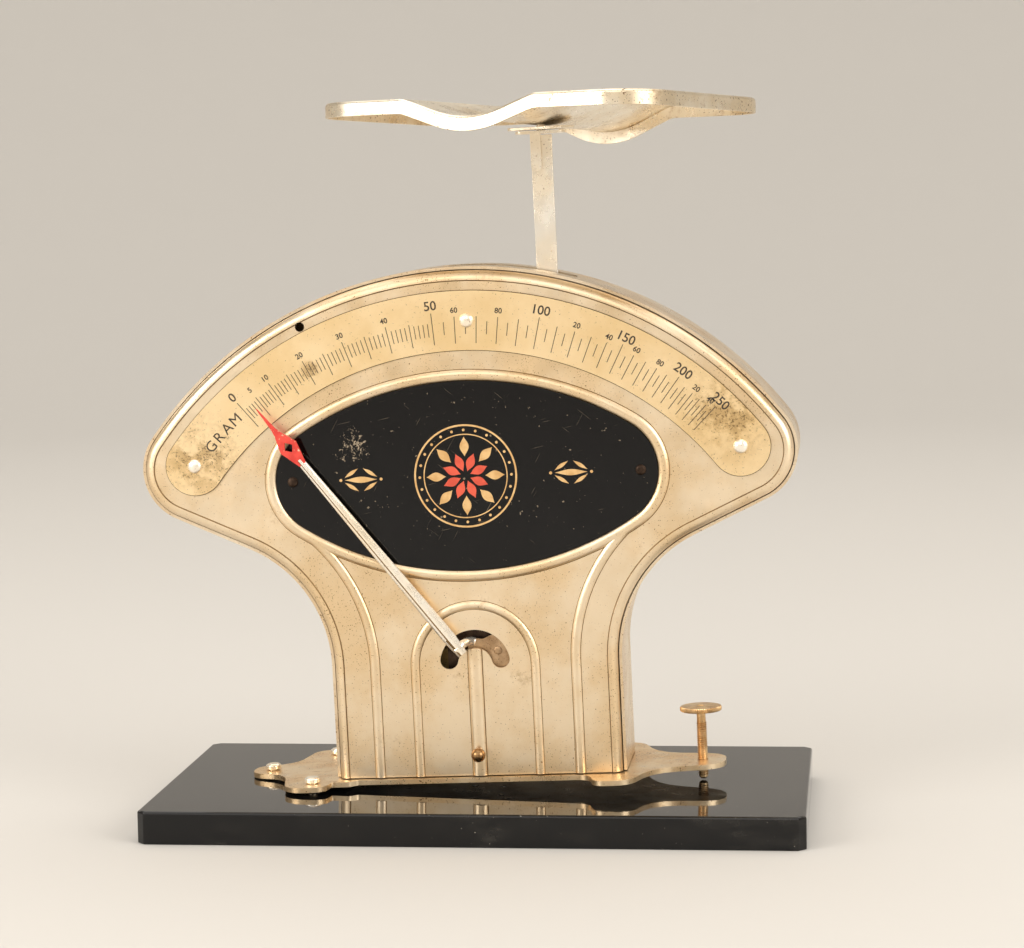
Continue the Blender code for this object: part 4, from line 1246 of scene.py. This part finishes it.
    def build_back(self) -> Piece:
        """Make the deep back with the slot in its crown for the post."""
        near = self.face_y + self.wall_start
        case = self.sheet_part("back_case_drawn", self.wall_out, near, self.back_y, self.back_y,
                               self.back_edge, 5)
        thicken(case, self.sheet)
        left, right, half = self.slot
        top = PIVOT.z + self.top_radius
        corners = [((right - 2.0, half - 2.0), 0.0), ((left + 2.0, half - 2.0), 0.5),
                   ((left + 2.0, 2.0 - half), 1.0), ((right - 2.0, 2.0 - half), 1.5)]
        loop = [p for centre, start in corners
                for p in arc(centre, 2.0, start * math.pi, (start + 0.5) * math.pi, 5)]
        cut(case, [flat("crown_cut", [loop], top - 12.0, top + 6.0, Facing.UP)])
        return finish(case, Body.SCALE, self.finishes.case_wall, ["back_case"],
                      smooth=38.0)

    def build_screw(self) -> Piece:
        """Make the ball-headed screw on the middle bead."""
        turns = [math.radians(a) for a in (8, 22, 38, 54, 70, 86, 102, 118, 134, 148)]
        size = self.screw_ball
        ball = [(size * math.sin(t), size + size * math.cos(t)) for t in turns]
        place = (0.0, self.face - self.bead_rise, PIVOT.z - self.screw_drop)
        screw = turned("case_screw_ball", ball + [(1.0, 0.2), (1.0, -1.6)], place, Facing.FRONT)
        return finish(screw, Body.SCALE, self.finishes.bronze, ["case_screw"])


@dataclass
class Dial:
    """Curved brass scale plate with engraved marks from 0 to 250 grams and domed rivets."""

    finishes: Finishes
    case: Case
    radius: float = 94.9
    half: float = 8.25
    spread: float = math.radians(52.5)
    top_rivet: float = math.radians(1.4)
    back_gap: float = 0.06
    stock: float = 0.5
    ink: float = 0.03
    stroke: float = 0.2
    boldness: float = 0.045
    zero_shift: float = math.radians(-9.4)
    fine_limit: int = 50
    limit: int = 250
    fine_mark: tuple[float, float] = (91.0, 94.6)
    coarse_mark: tuple[float, float] = (91.2, 94.7)
    five_mark: tuple[float, float] = (88.8, 95.2)
    ten_mark: tuple[float, float] = (88.7, 96.0)
    fifty_top: float = 97.4
    small_numbers: tuple[int, ...] = (5, 10, 20, 30, 40, 60, 80, 120, 140, 160, 180, 220, 240)
    small_ring: tuple[float, float] = (97.7, 1.5)
    large_ring: tuple[float, float] = (99.3, 2.6)
    word_ring: tuple[float, float] = (94.3, 3.1)
    word_turn: float = -45.0
    letter_turn: float = 2.05

    @property
    def front(self) -> float:
        """Y of the dial's face."""
        return self.case.face - self.back_gap - self.stock

    def angle(self, grams: float) -> float:
        """Return the pointer's angle for a load; the second pick-up weight sets in at 50 g.

        Args:
            grams: The load.

        Returns:
            The angle in radians from straight up.
        """
        if grams <= self.fine_limit:
            return math.atan(grams / 74.0 - 0.587) + self.zero_shift
        return math.atan((grams - self.fine_limit) / 152.4 + 0.0893) + self.zero_shift

    def mark(self, grams: float, low: float, high: float) -> Loop:
        """Return the outline of one engraved stroke.

        Args:
            grams: The load that it marks.
            low: Radius of its inner end.
            high: Radius of its outer end.

        Returns:
            The closed outline.
        """
        turn = self.angle(grams)
        side = Vector((math.cos(turn), -math.sin(turn))) * self.stroke / 2.0
        inner, outer = Vector(polar(low, turn)), Vector(polar(high, turn))
        return [tuple(p) for p in (inner - side, outer - side, outer + side, inner + side)]

    def marks(self) -> list[Loop]:
        """Return every stroke: each gram up to 50, then each fifth gram."""
        loops = []
        for grams in [*range(self.fine_limit), *range(self.fine_limit, self.limit + 1, 5)]:
            fine = grams < self.fine_limit
            low, high = self.fine_mark if fine else self.coarse_mark
            if fine and grams % 5 == 0:
                low, high = self.five_mark
            if grams % 10 == 0:
                low, high = self.ten_mark
            if grams % 50 == 0:
                high = self.fifty_top
            loops.append(self.mark(grams, low, high))
        return loops

    def label(self, text: str, radius: float, turn: float, height: float) -> Piece:
        """Make a text lying along the dial.

        Args:
            text: What it says.
            radius: Radius of the middle of its letters.
            turn: Angle of its middle from straight up.
            height: Height of its capitals.

        Returns:
            The letters, thickened by the depth of the ink.
        """
        bpy.ops.object.select_all(action="DESELECT")
        bpy.ops.object.text_add(location=(0.0, 0.0, 0.0))
        piece = bpy.context.object
        piece.data.body = text
        piece.data.size = height / 0.73
        piece.data.offset = 0.0 if text.isalpha() else self.boldness
        piece.data.align_x, piece.data.align_y = "CENTER", "CENTER"
        piece.data.resolution_u = 4
        piece.data.extrude = self.ink / 2.0
        bpy.ops.object.convert(target="MESH")
        x, z = polar(radius, turn)
        lying = Matrix.Rotation(turn, 4, "Y") @ Facing.FRONT.value
        piece.data.transform(Matrix.Translation((x, self.front, z)) @ lying)
        clean(piece, 0.0005, turn_out=False)
        return piece

    def labels(self) -> list[Piece]:
        """Make the numbers and the unit's letters."""
        radius, size = self.small_ring
        made = [self.label(str(g % 100 if g > 100 else g), radius, self.angle(g), size)
                for g in self.small_numbers]
        radius, size = self.large_ring
        made += [self.label(str(g), radius, self.angle(g), size)
                 for g in range(0, self.limit + 1, 50)]
        radius, size = self.word_ring
        turns = [math.radians(self.word_turn + self.letter_turn * (i - 1.5)) for i in range(4)]
        return made + [self.label(letter, radius, turn, size)
                       for letter, turn in zip("GRAM", turns)]

    def build(self) -> None:
        """Make the plate, its marks and its three rivets."""
        plate = flat("dial_plate_engraved", [band(self.radius, self.half, self.spread, 72, 20)],
                     self.front, self.front + self.stock)
        merge_faces(plate)
        break_edges(plate, 0.15, 1, 60.0)
        ends = [(polar(99.0, math.radians(47.5)), 17.0), (polar(95.0, math.radians(-50.5)), 16.0),
                (polar(93.0, math.radians(-26.5)), 3.6)]
        tarnished = [(STANCE.matrix @ Vector((x, self.front, z)), size) for (x, z), size in ends]
        finish(plate, Body.SCALE, DialBrass().build(tarnished), ["dial_plate"])
        # The dial's edge faces take the dark plating: dirt and a painted shadow of the gap round
        # the dial.
        edges = [abs(face.normal.y) < 0.95 for face in plate.data.polygons]
        second_finish(plate, self.finishes.edge, edges)
        strokes = flat("dial_marks", self.marks(), self.front - self.ink, self.front + self.ink)
        finish(strokes, Body.SCALE, self.finishes.ink)
        letters = join("dial_numbers", self.labels())
        finish(letters, Body.SCALE, self.finishes.ink)
        for side, turn in (("left", -self.spread), ("top", self.top_rivet), ("right", self.spread)):
            x, z = polar(self.radius, turn)
            profile = dome(2.0, 1.1) + [(0.9, -0.02), (0.9, -0.6)]
            rivet = turned(f"dial_rivet_{side}_domed", profile, (x, self.front - 0.02, z),
                           Facing.FRONT, 28)
            finish(rivet, Body.SCALE, self.finishes.bright, [f"dial_rivet_{side}"])


@dataclass
class Plaque:
    """Black lacquered plate in the eye, with a plain rosette and two scrolls printed in gold."""

    finishes: Finishes
    case: Case
    stock: float = 0.45
    print_rise: float = 0.05
    rivet_x: float = 48.0
    petals: int = 8
    rings: tuple[float, ...] = (14.2, 13.7, 11.6, 11.3)
    bead_ring: float = 12.65
    leaf_ring: float = 8.1
    flower_ring: float = 4.0
    scroll_x: float = 29.0

    @property
    def front(self) -> float:
        """Y of the plaque's face."""
        return self.case.face - 0.06 - self.stock

    def around(self, radius: float, turn: float) -> Point:
        """Return a point about the plaque's middle."""
        return (radius * math.cos(turn), self.case.eye_z + radius * math.sin(turn))

    def printed(self, name: str, loops: Sequence[Loop],
                material: bpy.types.Material) -> None:
        """Lay a flat print on the plaque.

        Args:
            name: Its name.
            loops: Its closed outlines.
            material: Its material.
        """
        piece = flat(name, loops, self.front - self.print_rise, self.front + self.print_rise)
        finish(piece, Body.SCALE, material)

    def build(self) -> None:
        """Make the plate, its print and its two rivets."""
        plate = flat("name_plaque_lacquered", [self.case.eye(-0.3)], self.front,
                     self.front + self.stock)
        merge_faces(plate)
        break_edges(plate, 0.1, 2, 60.0)
        rub = STANCE.matrix @ Vector((-30.0, self.front, self.case.eye_z + 9.0))
        finish(plate, Body.SCALE, ScuffedLacquer().build(rub), ["name_plaque"])
        middle = (0.0, self.case.eye_z)
        step = 2.0 * math.pi / self.petals
        prints = [disc(middle, r, 72) for r in self.rings]
        prints += [disc(self.around(self.bead_ring, i * step / 3.0), 0.38, 10)
                   for i in range(3 * self.petals)]
        prints += [lens(self.around(self.leaf_ring, i * step), 5.4, 2.5, i * step)
                   for i in range(self.petals)]
        for x in (-self.scroll_x, self.scroll_x):
            prints.append(lens((x, middle[1]), 9.0, 1.7, 0.0))
            prints += [lens((x + out, middle[1] + rise), 4.6, 1.0, tilt) for out in (-2.6, 2.6)
                       for rise, tilt in ((1.9, -0.22 * out), (-1.9, 0.22 * out))]
            prints += [disc((x + out, middle[1]), 0.42, 12) for out in (-5.6, 5.6)]
        self.printed("plaque_print", prints, self.finishes.gold)
        turns = [(i + 0.5) * step for i in range(self.petals)]
        inner = [lens(self.around(self.flower_ring, turn), 5.2, 2.4, turn) for turn in turns]
        self.printed("plaque_flower", inner, self.finishes.coral)
        for side, x in (("left", -self.rivet_x), ("right", self.rivet_x)):
            profile = dome(1.5, 0.7) + [(0.9, -0.02), (0.9, -0.6)]
            rivet = turned(f"plaque_rivet_{side}_domed", profile,
                           (x, self.front - 0.02, self.case.eye_z), Facing.FRONT, 24)
            finish(rivet, Body.SCALE, self.finishes.dark, [f"plaque_rivet_{side}"])


@dataclass
class Pointer:
    """Rolled sheet pointer: a seamed rod, a neck through the slot, a red diamond and needle."""

    finishes: Finishes
    angle: float = math.radians(-37.6)
    rod_y: float = -20.2
    lever_y: float = -15.3
    rod_low: float = 4.6
    rod_end: float = 74.2
    tip: float = 92.4
    diamond: tuple[float, float, float, float] = (72.6, 78.7, 83.6, 2.75)
    lever: tuple[Point, ...] = (
        (-180.0, 5.2), (-130.0, 4.2), (-32.0, 4.1), (-8.0, 7.1), (14.0, 7.2), (42.0, 10.5),
        (92.0, 10.6), (150.0, 5.4), (180.0, 5.2))
    rod_half: Point = (0.82, 1.25)
    rod_wide: float = 1.6
    rod_taper: float = 0.7
    seam_depth: float = 0.80
    seam_corner: int = 5
    neck_radius: float = 6.3
    neck_bow: float = 0.6
    neck_turns: Point = (-44.0, 44.0)
    neck_half: Point = (1.15, 1.2)

    @property
    def matrix(self) -> Matrix:
        """Matrix from a pointer that stands straight up from the origin to its own place."""
        return Matrix.Translation((PIVOT.x, 0.0, PIVOT.z)) @ Matrix.Rotation(self.angle, 4, "Y")

    def build_rod(self) -> None:
        """Make the rod with its seam, wider towards its foot."""
        steps, span = 28, self.rod_end - self.rod_low
        thick, wide = self.rod_half
        section = []
        for i in range(steps):
            t = 2.0 * math.pi * i / steps
            seam = self.seam_depth if i == self.seam_corner else 1.0
            section.append((thick * seam * math.cos(t), wide * seam * math.sin(t)))
        path = [(self.rod_y, self.rod_end - span * i / 12) for i in range(13)]
        rod = sweep("pointer_rod", path, section)
        rod.data.transform(Matrix.Rotation(math.pi / 2.0, 4, "Z"))
        for vert in rod.data.vertices:
            share = (vert.co.z - self.rod_low) / span
            blunt = 0.7 if share < 0.01 else 1.0
            vert.co.x *= (self.rod_wide - self.rod_taper * share) * blunt
        seam = [self.in_seam(face) for face in rod.data.polygons]
        rod.data.transform(self.matrix)
        finish(rod, Body.BEAM, self.finishes.bright, smooth=50.0)
        # The seam's faces take the darker plating: painted shade in the seam.
        second_finish(rod, self.finishes.grime, seam)

    def in_seam(self, face: bpy.types.MeshPolygon) -> bool:
        """Tell whether a face of the upright rod lies in its seam.

        Args:
            face: The face.

        Returns:
            Whether it is on the front, at the seam's place in the rod's width there.
        """
        x, y, z = face.center
        share = (z - self.rod_low) / (self.rod_end - self.rod_low)
        wide, narrow = (self.rod_half[1] * w for w in (self.rod_wide, self.rod_taper))
        return y < self.rod_y and 0.25 < -x / (wide - narrow * share) < 0.5

    def build_neck(self) -> None:
        """Make the bent neck from the rod's foot through the slot to the lever."""
        steps = 16
        path = []
        first, sweep_turn = self.neck_turns
        for i in range(steps + 1):
            share = i / steps
            x, z = polar(self.neck_radius + self.neck_bow * math.sin(math.pi * share),
                         math.radians(first + sweep_turn * share))
            dip = 0.5 - 0.5 * math.cos(math.pi * share ** 1.3)
            path.append((x, self.rod_y + 0.2 + (self.lever_y - self.rod_y) * dip, z))
        high, wide = self.neck_half
        turns = [2.0 * math.pi * i / 24 for i in range(24)]
        section = [(high * math.cos(t), wide * math.sin(t)) for t in turns]
        neck = sweep("pointer_neck", path, section, upright=False)
        finish(neck, Body.BEAM, self.finishes.bright, ["pointer_stub"], smooth=60.0)

    def build_lever(self) -> None:
        """Make the lever: a hub round the axle and an arm that fills the slot's right end."""
        near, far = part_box("main_lever")
        front, back = STANCE.upright(near).y, STANCE.upright(far).y
        outline = []
        for (turn, radius), (after, next_radius) in zip(self.lever, self.lever[1:]):
            steps = max(2, round((after - turn) / 4.0))
            for i in range(steps):
                share = 0.5 - 0.5 * math.cos(math.pi * i / steps)
                outline.append(polar(radius + (next_radius - radius) * share,
                                     math.radians(turn + (after - turn) * i / steps)))
        lever = flat("main_lever_cranked", [outline, disc((PIVOT.x, PIVOT.z), 1.5)], front, back)
        break_edges(lever, 0.2, 3, 50.0)
        # The lever takes the darker nickel: painted shade behind the face.
        finish(lever, Body.BEAM, self.finishes.dull, ["main_lever"], smooth=40.0)

    def build_head(self) -> None:
        """Make the red diamond with its eye, and the needle."""
        low, middle, high, half = self.diamond
        right = [(1.05, low), (half, middle), (0.95, high), (0.62, high + 1.4), (0.1, self.tip)]
        outline = [(-right[0][0], low)] + right + [(-x, z) for x, z in right[:0:-1]]
        eye = [(0.0, middle - 1.7), (1.35, middle - 0.1), (0.0, middle + 1.6),
               (-1.35, middle - 0.1)]
        head = flat("pointer_needle", [outline, eye], self.rod_y - 0.75, self.rod_y - 0.05)
        edit(head, lambda: bpy.ops.mesh.dissolve_limited(angle_limit=math.radians(1.0)))
        break_edges(head, 0.16, 3, 50.0)
        head.data.transform(self.matrix)
        finish(head, Body.BEAM, self.finishes.red, ["pointer"])


@dataclass
class Pan:
    """Letter pan: one sheet with a trough across it and a rim folded down all round."""

    finishes: Finishes
    post_shift: float = 0.8
    top: float = 195.9
    across: float = 107.0
    along: float = 72.0
    corner: float = 14.0
    rim: float = 4.1
    fold: float = 1.0
    stock: float = 0.6
    turn: float = math.radians(27.0)
    tip: float = math.radians(2.6)
    roll: float = math.radians(0.9)
    trough_half: float = 21.0
    trough_depth: float = 5.9
    trough_fall: float = 1.3
    arc_share: float = 0.5
    rows: int = 36
    edge_bend: float = 0.06

    @property
    def matrix(self) -> Matrix:
        """Matrix from the pan's own plan to upright millimetres."""
        there = Matrix.Translation((LOAD_PIVOT.x + self.post_shift, 0.0, self.top))
        swivel = Matrix.Rotation(-self.turn, 4, "Z")
        tilt = Matrix.Rotation(self.roll, 4, "Y") @ Matrix.Rotation(-self.tip, 4, "X")
        return there @ swivel @ tilt

    def height(self, across: float, along: float) -> float:
        """Return the height of the top face: a round trough with flanks and upper bends.

        Args:
            across: Place across the trough.
            along: Place along it.

        Returns:
            The height above the flat part.
        """
        depth = self.trough_depth + self.trough_fall * along / self.along
        reach = abs(across) / self.trough_half
        share, bend = self.arc_share, self.edge_bend
        curve = 1.0 / (2.0 * share - share ** 2)
        if reach <= share:
            return -depth * (1.0 - curve * reach ** 2)
        slope = 2.0 * curve * share
        if reach <= 1.0 - bend:
            return -depth * (1.0 - curve * share ** 2 - slope * (reach - share))
        if reach < 1.0 + bend:
            return -depth * slope * (1.0 + bend - reach) ** 2 / (4.0 * bend)
        return 0.0

    def stations(self) -> list[float]:
        """Return the places of the rows across the pan, closer together where it bends."""
        flat_half, bend = self.across / 2.0 - self.corner, self.corner - self.fold
        places = [self.trough_half * (1.0 - self.edge_bend) * i / 20.0 for i in range(21)]
        places += [self.trough_half * (1.0 + self.edge_bend * (i / 3.0 - 1.0)) for i in range(1, 7)]
        first = places[-1]
        places += [first + (flat_half - first) * i / 10.0 for i in range(1, 10)]
        places += [flat_half + bend * math.sin(math.radians(7.5 * i)) for i in range(12)]
        places.append(flat_half + bend)
        return sorted({round(side * place, 5) for place in places for side in (-1.0, 1.0)})

    def build(self) -> None:
        """Make the sheet, fold its rim and give it its thickness."""
        flat_along = self.along / 2.0 - self.corner
        inner, bend = self.across / 2.0 - self.corner, self.corner - self.fold
        work = bmesh.new()
        lines = []
        for u in self.stations():
            over = max(0.0, abs(u) - inner)
            reach = flat_along + math.sqrt(max(0.0, bend ** 2 - over ** 2))
            places = [reach * (2.0 * i / self.rows - 1.0) for i in range(self.rows + 1)]
            lines.append([work.verts.new((u, v, self.height(u, v))) for v in places])
        for line, after in zip(lines, lines[1:]):
            for i in range(self.rows):
                work.faces.new((line[i], after[i], after[i + 1], line[i + 1]))
        border = [line[0] for line in lines] + lines[-1][1:]
        border += [line[-1] for line in lines[-2::-1]] + lines[0][-2:0:-1]
        self.fold_rim(work, border)
        pan = from_bmesh("pan_sheet", work)
        clean(pan, turn_out=False)
        thicken(pan, self.stock)
        break_edges(pan, 0.12, 2, 60.0)
        pan.data.transform(self.matrix)
        finish(pan, Body.PAN, self.finishes.pan, ["pan"], smooth=50.0)

    def fold_rim(self, work: bmesh.types.BMesh, border: list) -> None:
        """Roll the border over and down.

        Args:
            work: The open sheet.
            border: Its border points in order, anticlockwise from above.
        """
        count = len(border)
        outward = []
        for i, vert in enumerate(border):
            run = border[(i + 1) % count].co - border[i - 1].co
            outward.append(Vector((run.y, -run.x, 0.0)).normalized())
        starts = [vert.co.copy() for vert in border]
        steps = 6
        rings = [(self.fold * math.sin(t), self.fold * (math.cos(t) - 1.0))
                 for t in (math.pi / 2.0 * i / steps for i in range(1, steps + 1))]
        rings.append((self.fold, -self.rim))
        last = border
        for out, down in rings:
            ring = [work.verts.new(start + way * out + Vector((0.0, 0.0, down)))
                    for start, way in zip(starts, outward)]
            for i in range(count):
                j = (i + 1) % count
                work.faces.new((last[i], ring[i], ring[j], last[j]))
            last = ring
        bmesh.ops.recalc_face_normals(work, faces=work.faces)
        work.faces.ensure_lookup_table()
        if max(work.faces, key=lambda f: f.calc_area()).normal.z < 0.0:
            bmesh.ops.reverse_faces(work, faces=work.faces)


@dataclass
class LevellingScrew:
    """Fine-threaded brass stem with a knurled head riveted on its neck."""

    finishes: Finishes
    x: float = 60.5
    radius: float = 1.5
    root: float = 1.24
    pitch: float = 0.6
    knob_radius: float = 5.8
    knob_thick: float = 1.4
    knob_top: float = 26.6
    neck: float = 2.2
    teeth: int = 72

    def build_stem(self) -> None:
        """Make the thread as one helical rib on a core with a smooth neck and a peened end."""
        low = STANCE.upright(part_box("levelling_stem")[0]).z + 0.05
        neck = self.knob_top - self.knob_thick - self.neck
        under = self.knob_top - self.knob_thick
        core = [(0.35, self.knob_top + 0.35), (0.9, self.knob_top + 0.22), (1.15, self.knob_top),
                (1.15, under - 0.2), (self.root, under - 0.25), (self.root, low + 0.5),
                (self.root * 0.6, low)]
        stem = turned("stem_core", core, (self.x, 0.0, 0.0), sides=28)
        turns = int((neck - low - 1.0) / self.pitch)
        steps = 20
        rings = []
        work = bmesh.new()
        for i in range(turns * steps + 1):
            t = 2.0 * math.pi * i / steps
            fade = min(1.0, i / steps, (turns * steps - i) / steps)
            crest = self.root - 0.02 + (self.radius - self.root) * fade
            z = low + 0.7 + self.pitch * i / steps
            shape = [(self.root - 0.1, -0.42), (crest, -0.08), (crest, 0.08),
                     (self.root - 0.1, 0.42)]
            places = [(self.x + r * math.cos(t), r * math.sin(t), z + up * self.pitch)
                      for r, up in shape]
            rings.append([work.verts.new(place) for place in places])
        for here, after in zip(rings, rings[1:]):
            for i in range(4):
                j = (i + 1) % 4
                work.faces.new((here[i], here[j], after[j], after[i]))
        work.faces.new(rings[0])
        work.faces.new(rings[-1])
        bmesh.ops.recalc_face_normals(work, faces=work.faces)
        piece = join("levelling_stem_threaded", [stem, from_bmesh("stem_thread", work)])
        finish(piece, Body.STEM, self.finishes.screw, ["levelling_stem"])

    def build_knob(self) -> None:
        """Make the head: a disc with straight knurling, a broken edge and a raised middle."""
        top, low = self.knob_top, self.knob_top - self.knob_thick
        edge, boss = 0.22, 2.3
        wide = self.knob_radius
        profile = [(boss - 0.5, top + 0.02), (boss, top - 0.1), (wide - 0.7, top - 0.12),
                   (wide - edge, top - 0.12), (wide, top - edge - 0.12), (wide, low + edge),
                   (wide - edge, low), (boss, low)]
        knob = turned("levelling_knob_knurled", profile, (self.x, 0.0, 0.0), sides=2 * self.teeth)
        groove = self.knob_radius - 0.26
        for vert in knob.data.vertices:
            out = Vector((vert.co.x - self.x, vert.co.y))
            number = round(math.atan2(out.y, out.x) / (math.pi / self.teeth))
            if out.length > groove and number % 2:
                out = out.normalized() * groove
                vert.co.x, vert.co.y = self.x + out.x, out.y
        finish(knob, Body.KNOB, self.finishes.screw, ["levelling_knob"], smooth=28.0)


@dataclass(frozen=True)
class Dressed:
    """A frame node that only needs its edges broken and its finish."""

    node: str
    edge: float
    body: Body
    slot: str = "nickel"


@dataclass
class Hardware:
    """Plain plates, bars, weights and pins of the scale."""

    finishes: Finishes

    def build(self) -> None:
        """Break the edges of the plain pieces and dress those that are right as they are."""
        made = self.finishes
        looks = {"nickel": made.bright, "weight_brass": made.weight, "black_glass": made.glass,
                 "dark_rivet": made.dark}
        rows = [
            Dressed("glass_base", 0.35, Body.BASE, "black_glass"),
            Dressed("foot_plate", 0.45, Body.SCALE),
            Dressed("front_foot", 0.18, Body.SCALE),
            Dressed("rear_foot", 0.18, Body.SCALE),
            Dressed("tip_stud", 0.18, Body.SCALE),
            Dressed("inner_frame", 0.25, Body.SCALE, "dark_rivet"),
            Dressed("frame_screw_left", 0.12, Body.SCALE),
            Dressed("frame_screw_right", 0.12, Body.SCALE),
            Dressed("lever_rivet", 0.08, Body.BEAM),
            Dressed("load_arm", 0.3, Body.BEAM),
            Dressed("counterweight_front", 0.5, Body.BEAM, "weight_brass"),
            Dressed("counterweight_rear", 0.5, Body.BEAM, "weight_brass"),
            Dressed("post", 0.45, Body.POST),
            Dressed("post_flange", 0.25, Body.POST),
            Dressed("check_link", 0.3, Body.LINK),
            Dressed("pan_saddle", 0.25, Body.PAN),
            Dressed("pan_rivet", 0.1, Body.PAN),
        ]
        # The lever rivet takes the darker nickel: painted shade behind the face.
        special = {"foot_plate": made.plate, "lever_rivet": made.dull}
        for row in rows:
            look = special.get(row.node, looks[row.slot])
            rounded_copy(row.node, row.edge, row.body, look)
        for node in ("link_pin", "pivot_axle", "load_pin", "post_pin"):
            for slot in frame["nodes"][node].material_slots:
                slot.material = made.bright


# Studio ----------------------------------------------------------------------------------------


@dataclass
class Studio:
    """Pale floor that runs up into a wall, soft boxes and the camera."""

    eye: Vector = field(default_factory=lambda: Vector((0.105, -0.812, 0.178)))
    aim: tuple[float, float, float] = (84.2032, 0.9676, 6.7125)
    lens: float = 103.7
    sensor: float = 36.0
    floor: str = "#cac7c2"
    flat: float = 1.3
    bend: float = 1.1
    wall: float = 2.6
    sky: str = "#d8d4ce"
    warmth: str = "#fffaf4"
    boxes: tuple[tuple[str, tuple[float, float, float], float, float], ...] = (
        ("left", (-0.9, -0.75, 0.55), 0.7, 8.5), ("right", (1.0, -0.6, 0.6), 0.7, 8.0),
        ("front", (-0.1, -1.6, 1.1), 1.2, 7.0), ("top", (0.1, 0.35, 1.9), 2.4, 26.0))

    def build_floor(self) -> None:
        """Make a pale floor that curves up into a wall all round."""
        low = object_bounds()[0].z
        turns = [math.radians(7.5 * i) for i in range(13)]
        profile = [(self.flat + self.bend * math.sin(t), low + self.bend * (1.0 - math.cos(t)))
                   for t in turns] + [(self.flat + self.bend, low + self.wall)]
        floor = lathe("studio_floor", profile, 96, closed=False)
        bpy.ops.object.shade_smooth_by_angle(angle=math.radians(30.0))
        look = Surface("matt_pale_paper", 0.85)
        look.shader.inputs["Base Color"].default_value = linear(self.floor)
        floor.data.materials.append(look.material)
        floor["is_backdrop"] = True

    def add_box(self, name: str, place: Sequence[float], size: float, power: float) -> None:
        """Add a soft box that faces the scale.

        Args:
            name: Its name.
            place: Where it stands, in metres.
            size: Side of its square front, in metres.
            power: Power in watts.
        """
        light = bpy.data.lights.new(name, "AREA")
        light.shape, light.size, light.energy = "SQUARE", size, power
        light.color = linear(self.warmth)[:3]
        lamp = linked(name, light)
        lamp.location = place
        aim = Vector((0.0, 0.0, 0.1)) - Vector(place)
        lamp.rotation_euler = aim.to_track_quat("-Z", "Y").to_euler()

    def build(self) -> None:
        """Set up floor, light and camera."""
        self.build_floor()
        world = bpy.data.worlds.new("studio_air")
        bpy.context.scene.world = world
        world.use_nodes = True
        air = world.node_tree.nodes["Background"]
        air.inputs["Color"].default_value = linear(self.sky)
        air.inputs["Strength"].default_value = 1.0
        for side, place, size, power in self.boxes:
            self.add_box("soft_box_" + side, place, size, power)
        camera = bpy.data.cameras.new("studio_camera")
        camera.lens, camera.sensor_width = self.lens, self.sensor
        holder = linked("studio_camera", camera)
        holder.location = self.eye
        holder.rotation_euler = [math.radians(a) for a in self.aim]
        bpy.context.scene.camera = holder
        bpy.context.scene.view_settings.view_transform = "Standard"


def main() -> None:
    """Build the looks of the scale round its frame."""
    logging.basicConfig(level=logging.INFO, format="%(message)s")
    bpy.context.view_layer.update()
    finishes = Finishes()
    Studio().build()
    case = Case(finishes)
    case.build_front()
    case.build_back()
    case.build_screw()
    Dial(finishes, case).build()
    Plaque(finishes, case).build()
    pointer = Pointer(finishes)
    pointer.build_rod()
    pointer.build_neck()
    pointer.build_lever()
    pointer.build_head()
    Pan(finishes).build()
    screw = LevellingScrew(finishes)
    screw.build_stem()
    screw.build_knob()
    Hardware(finishes).build()


if __name__ == "__main__":
    main()
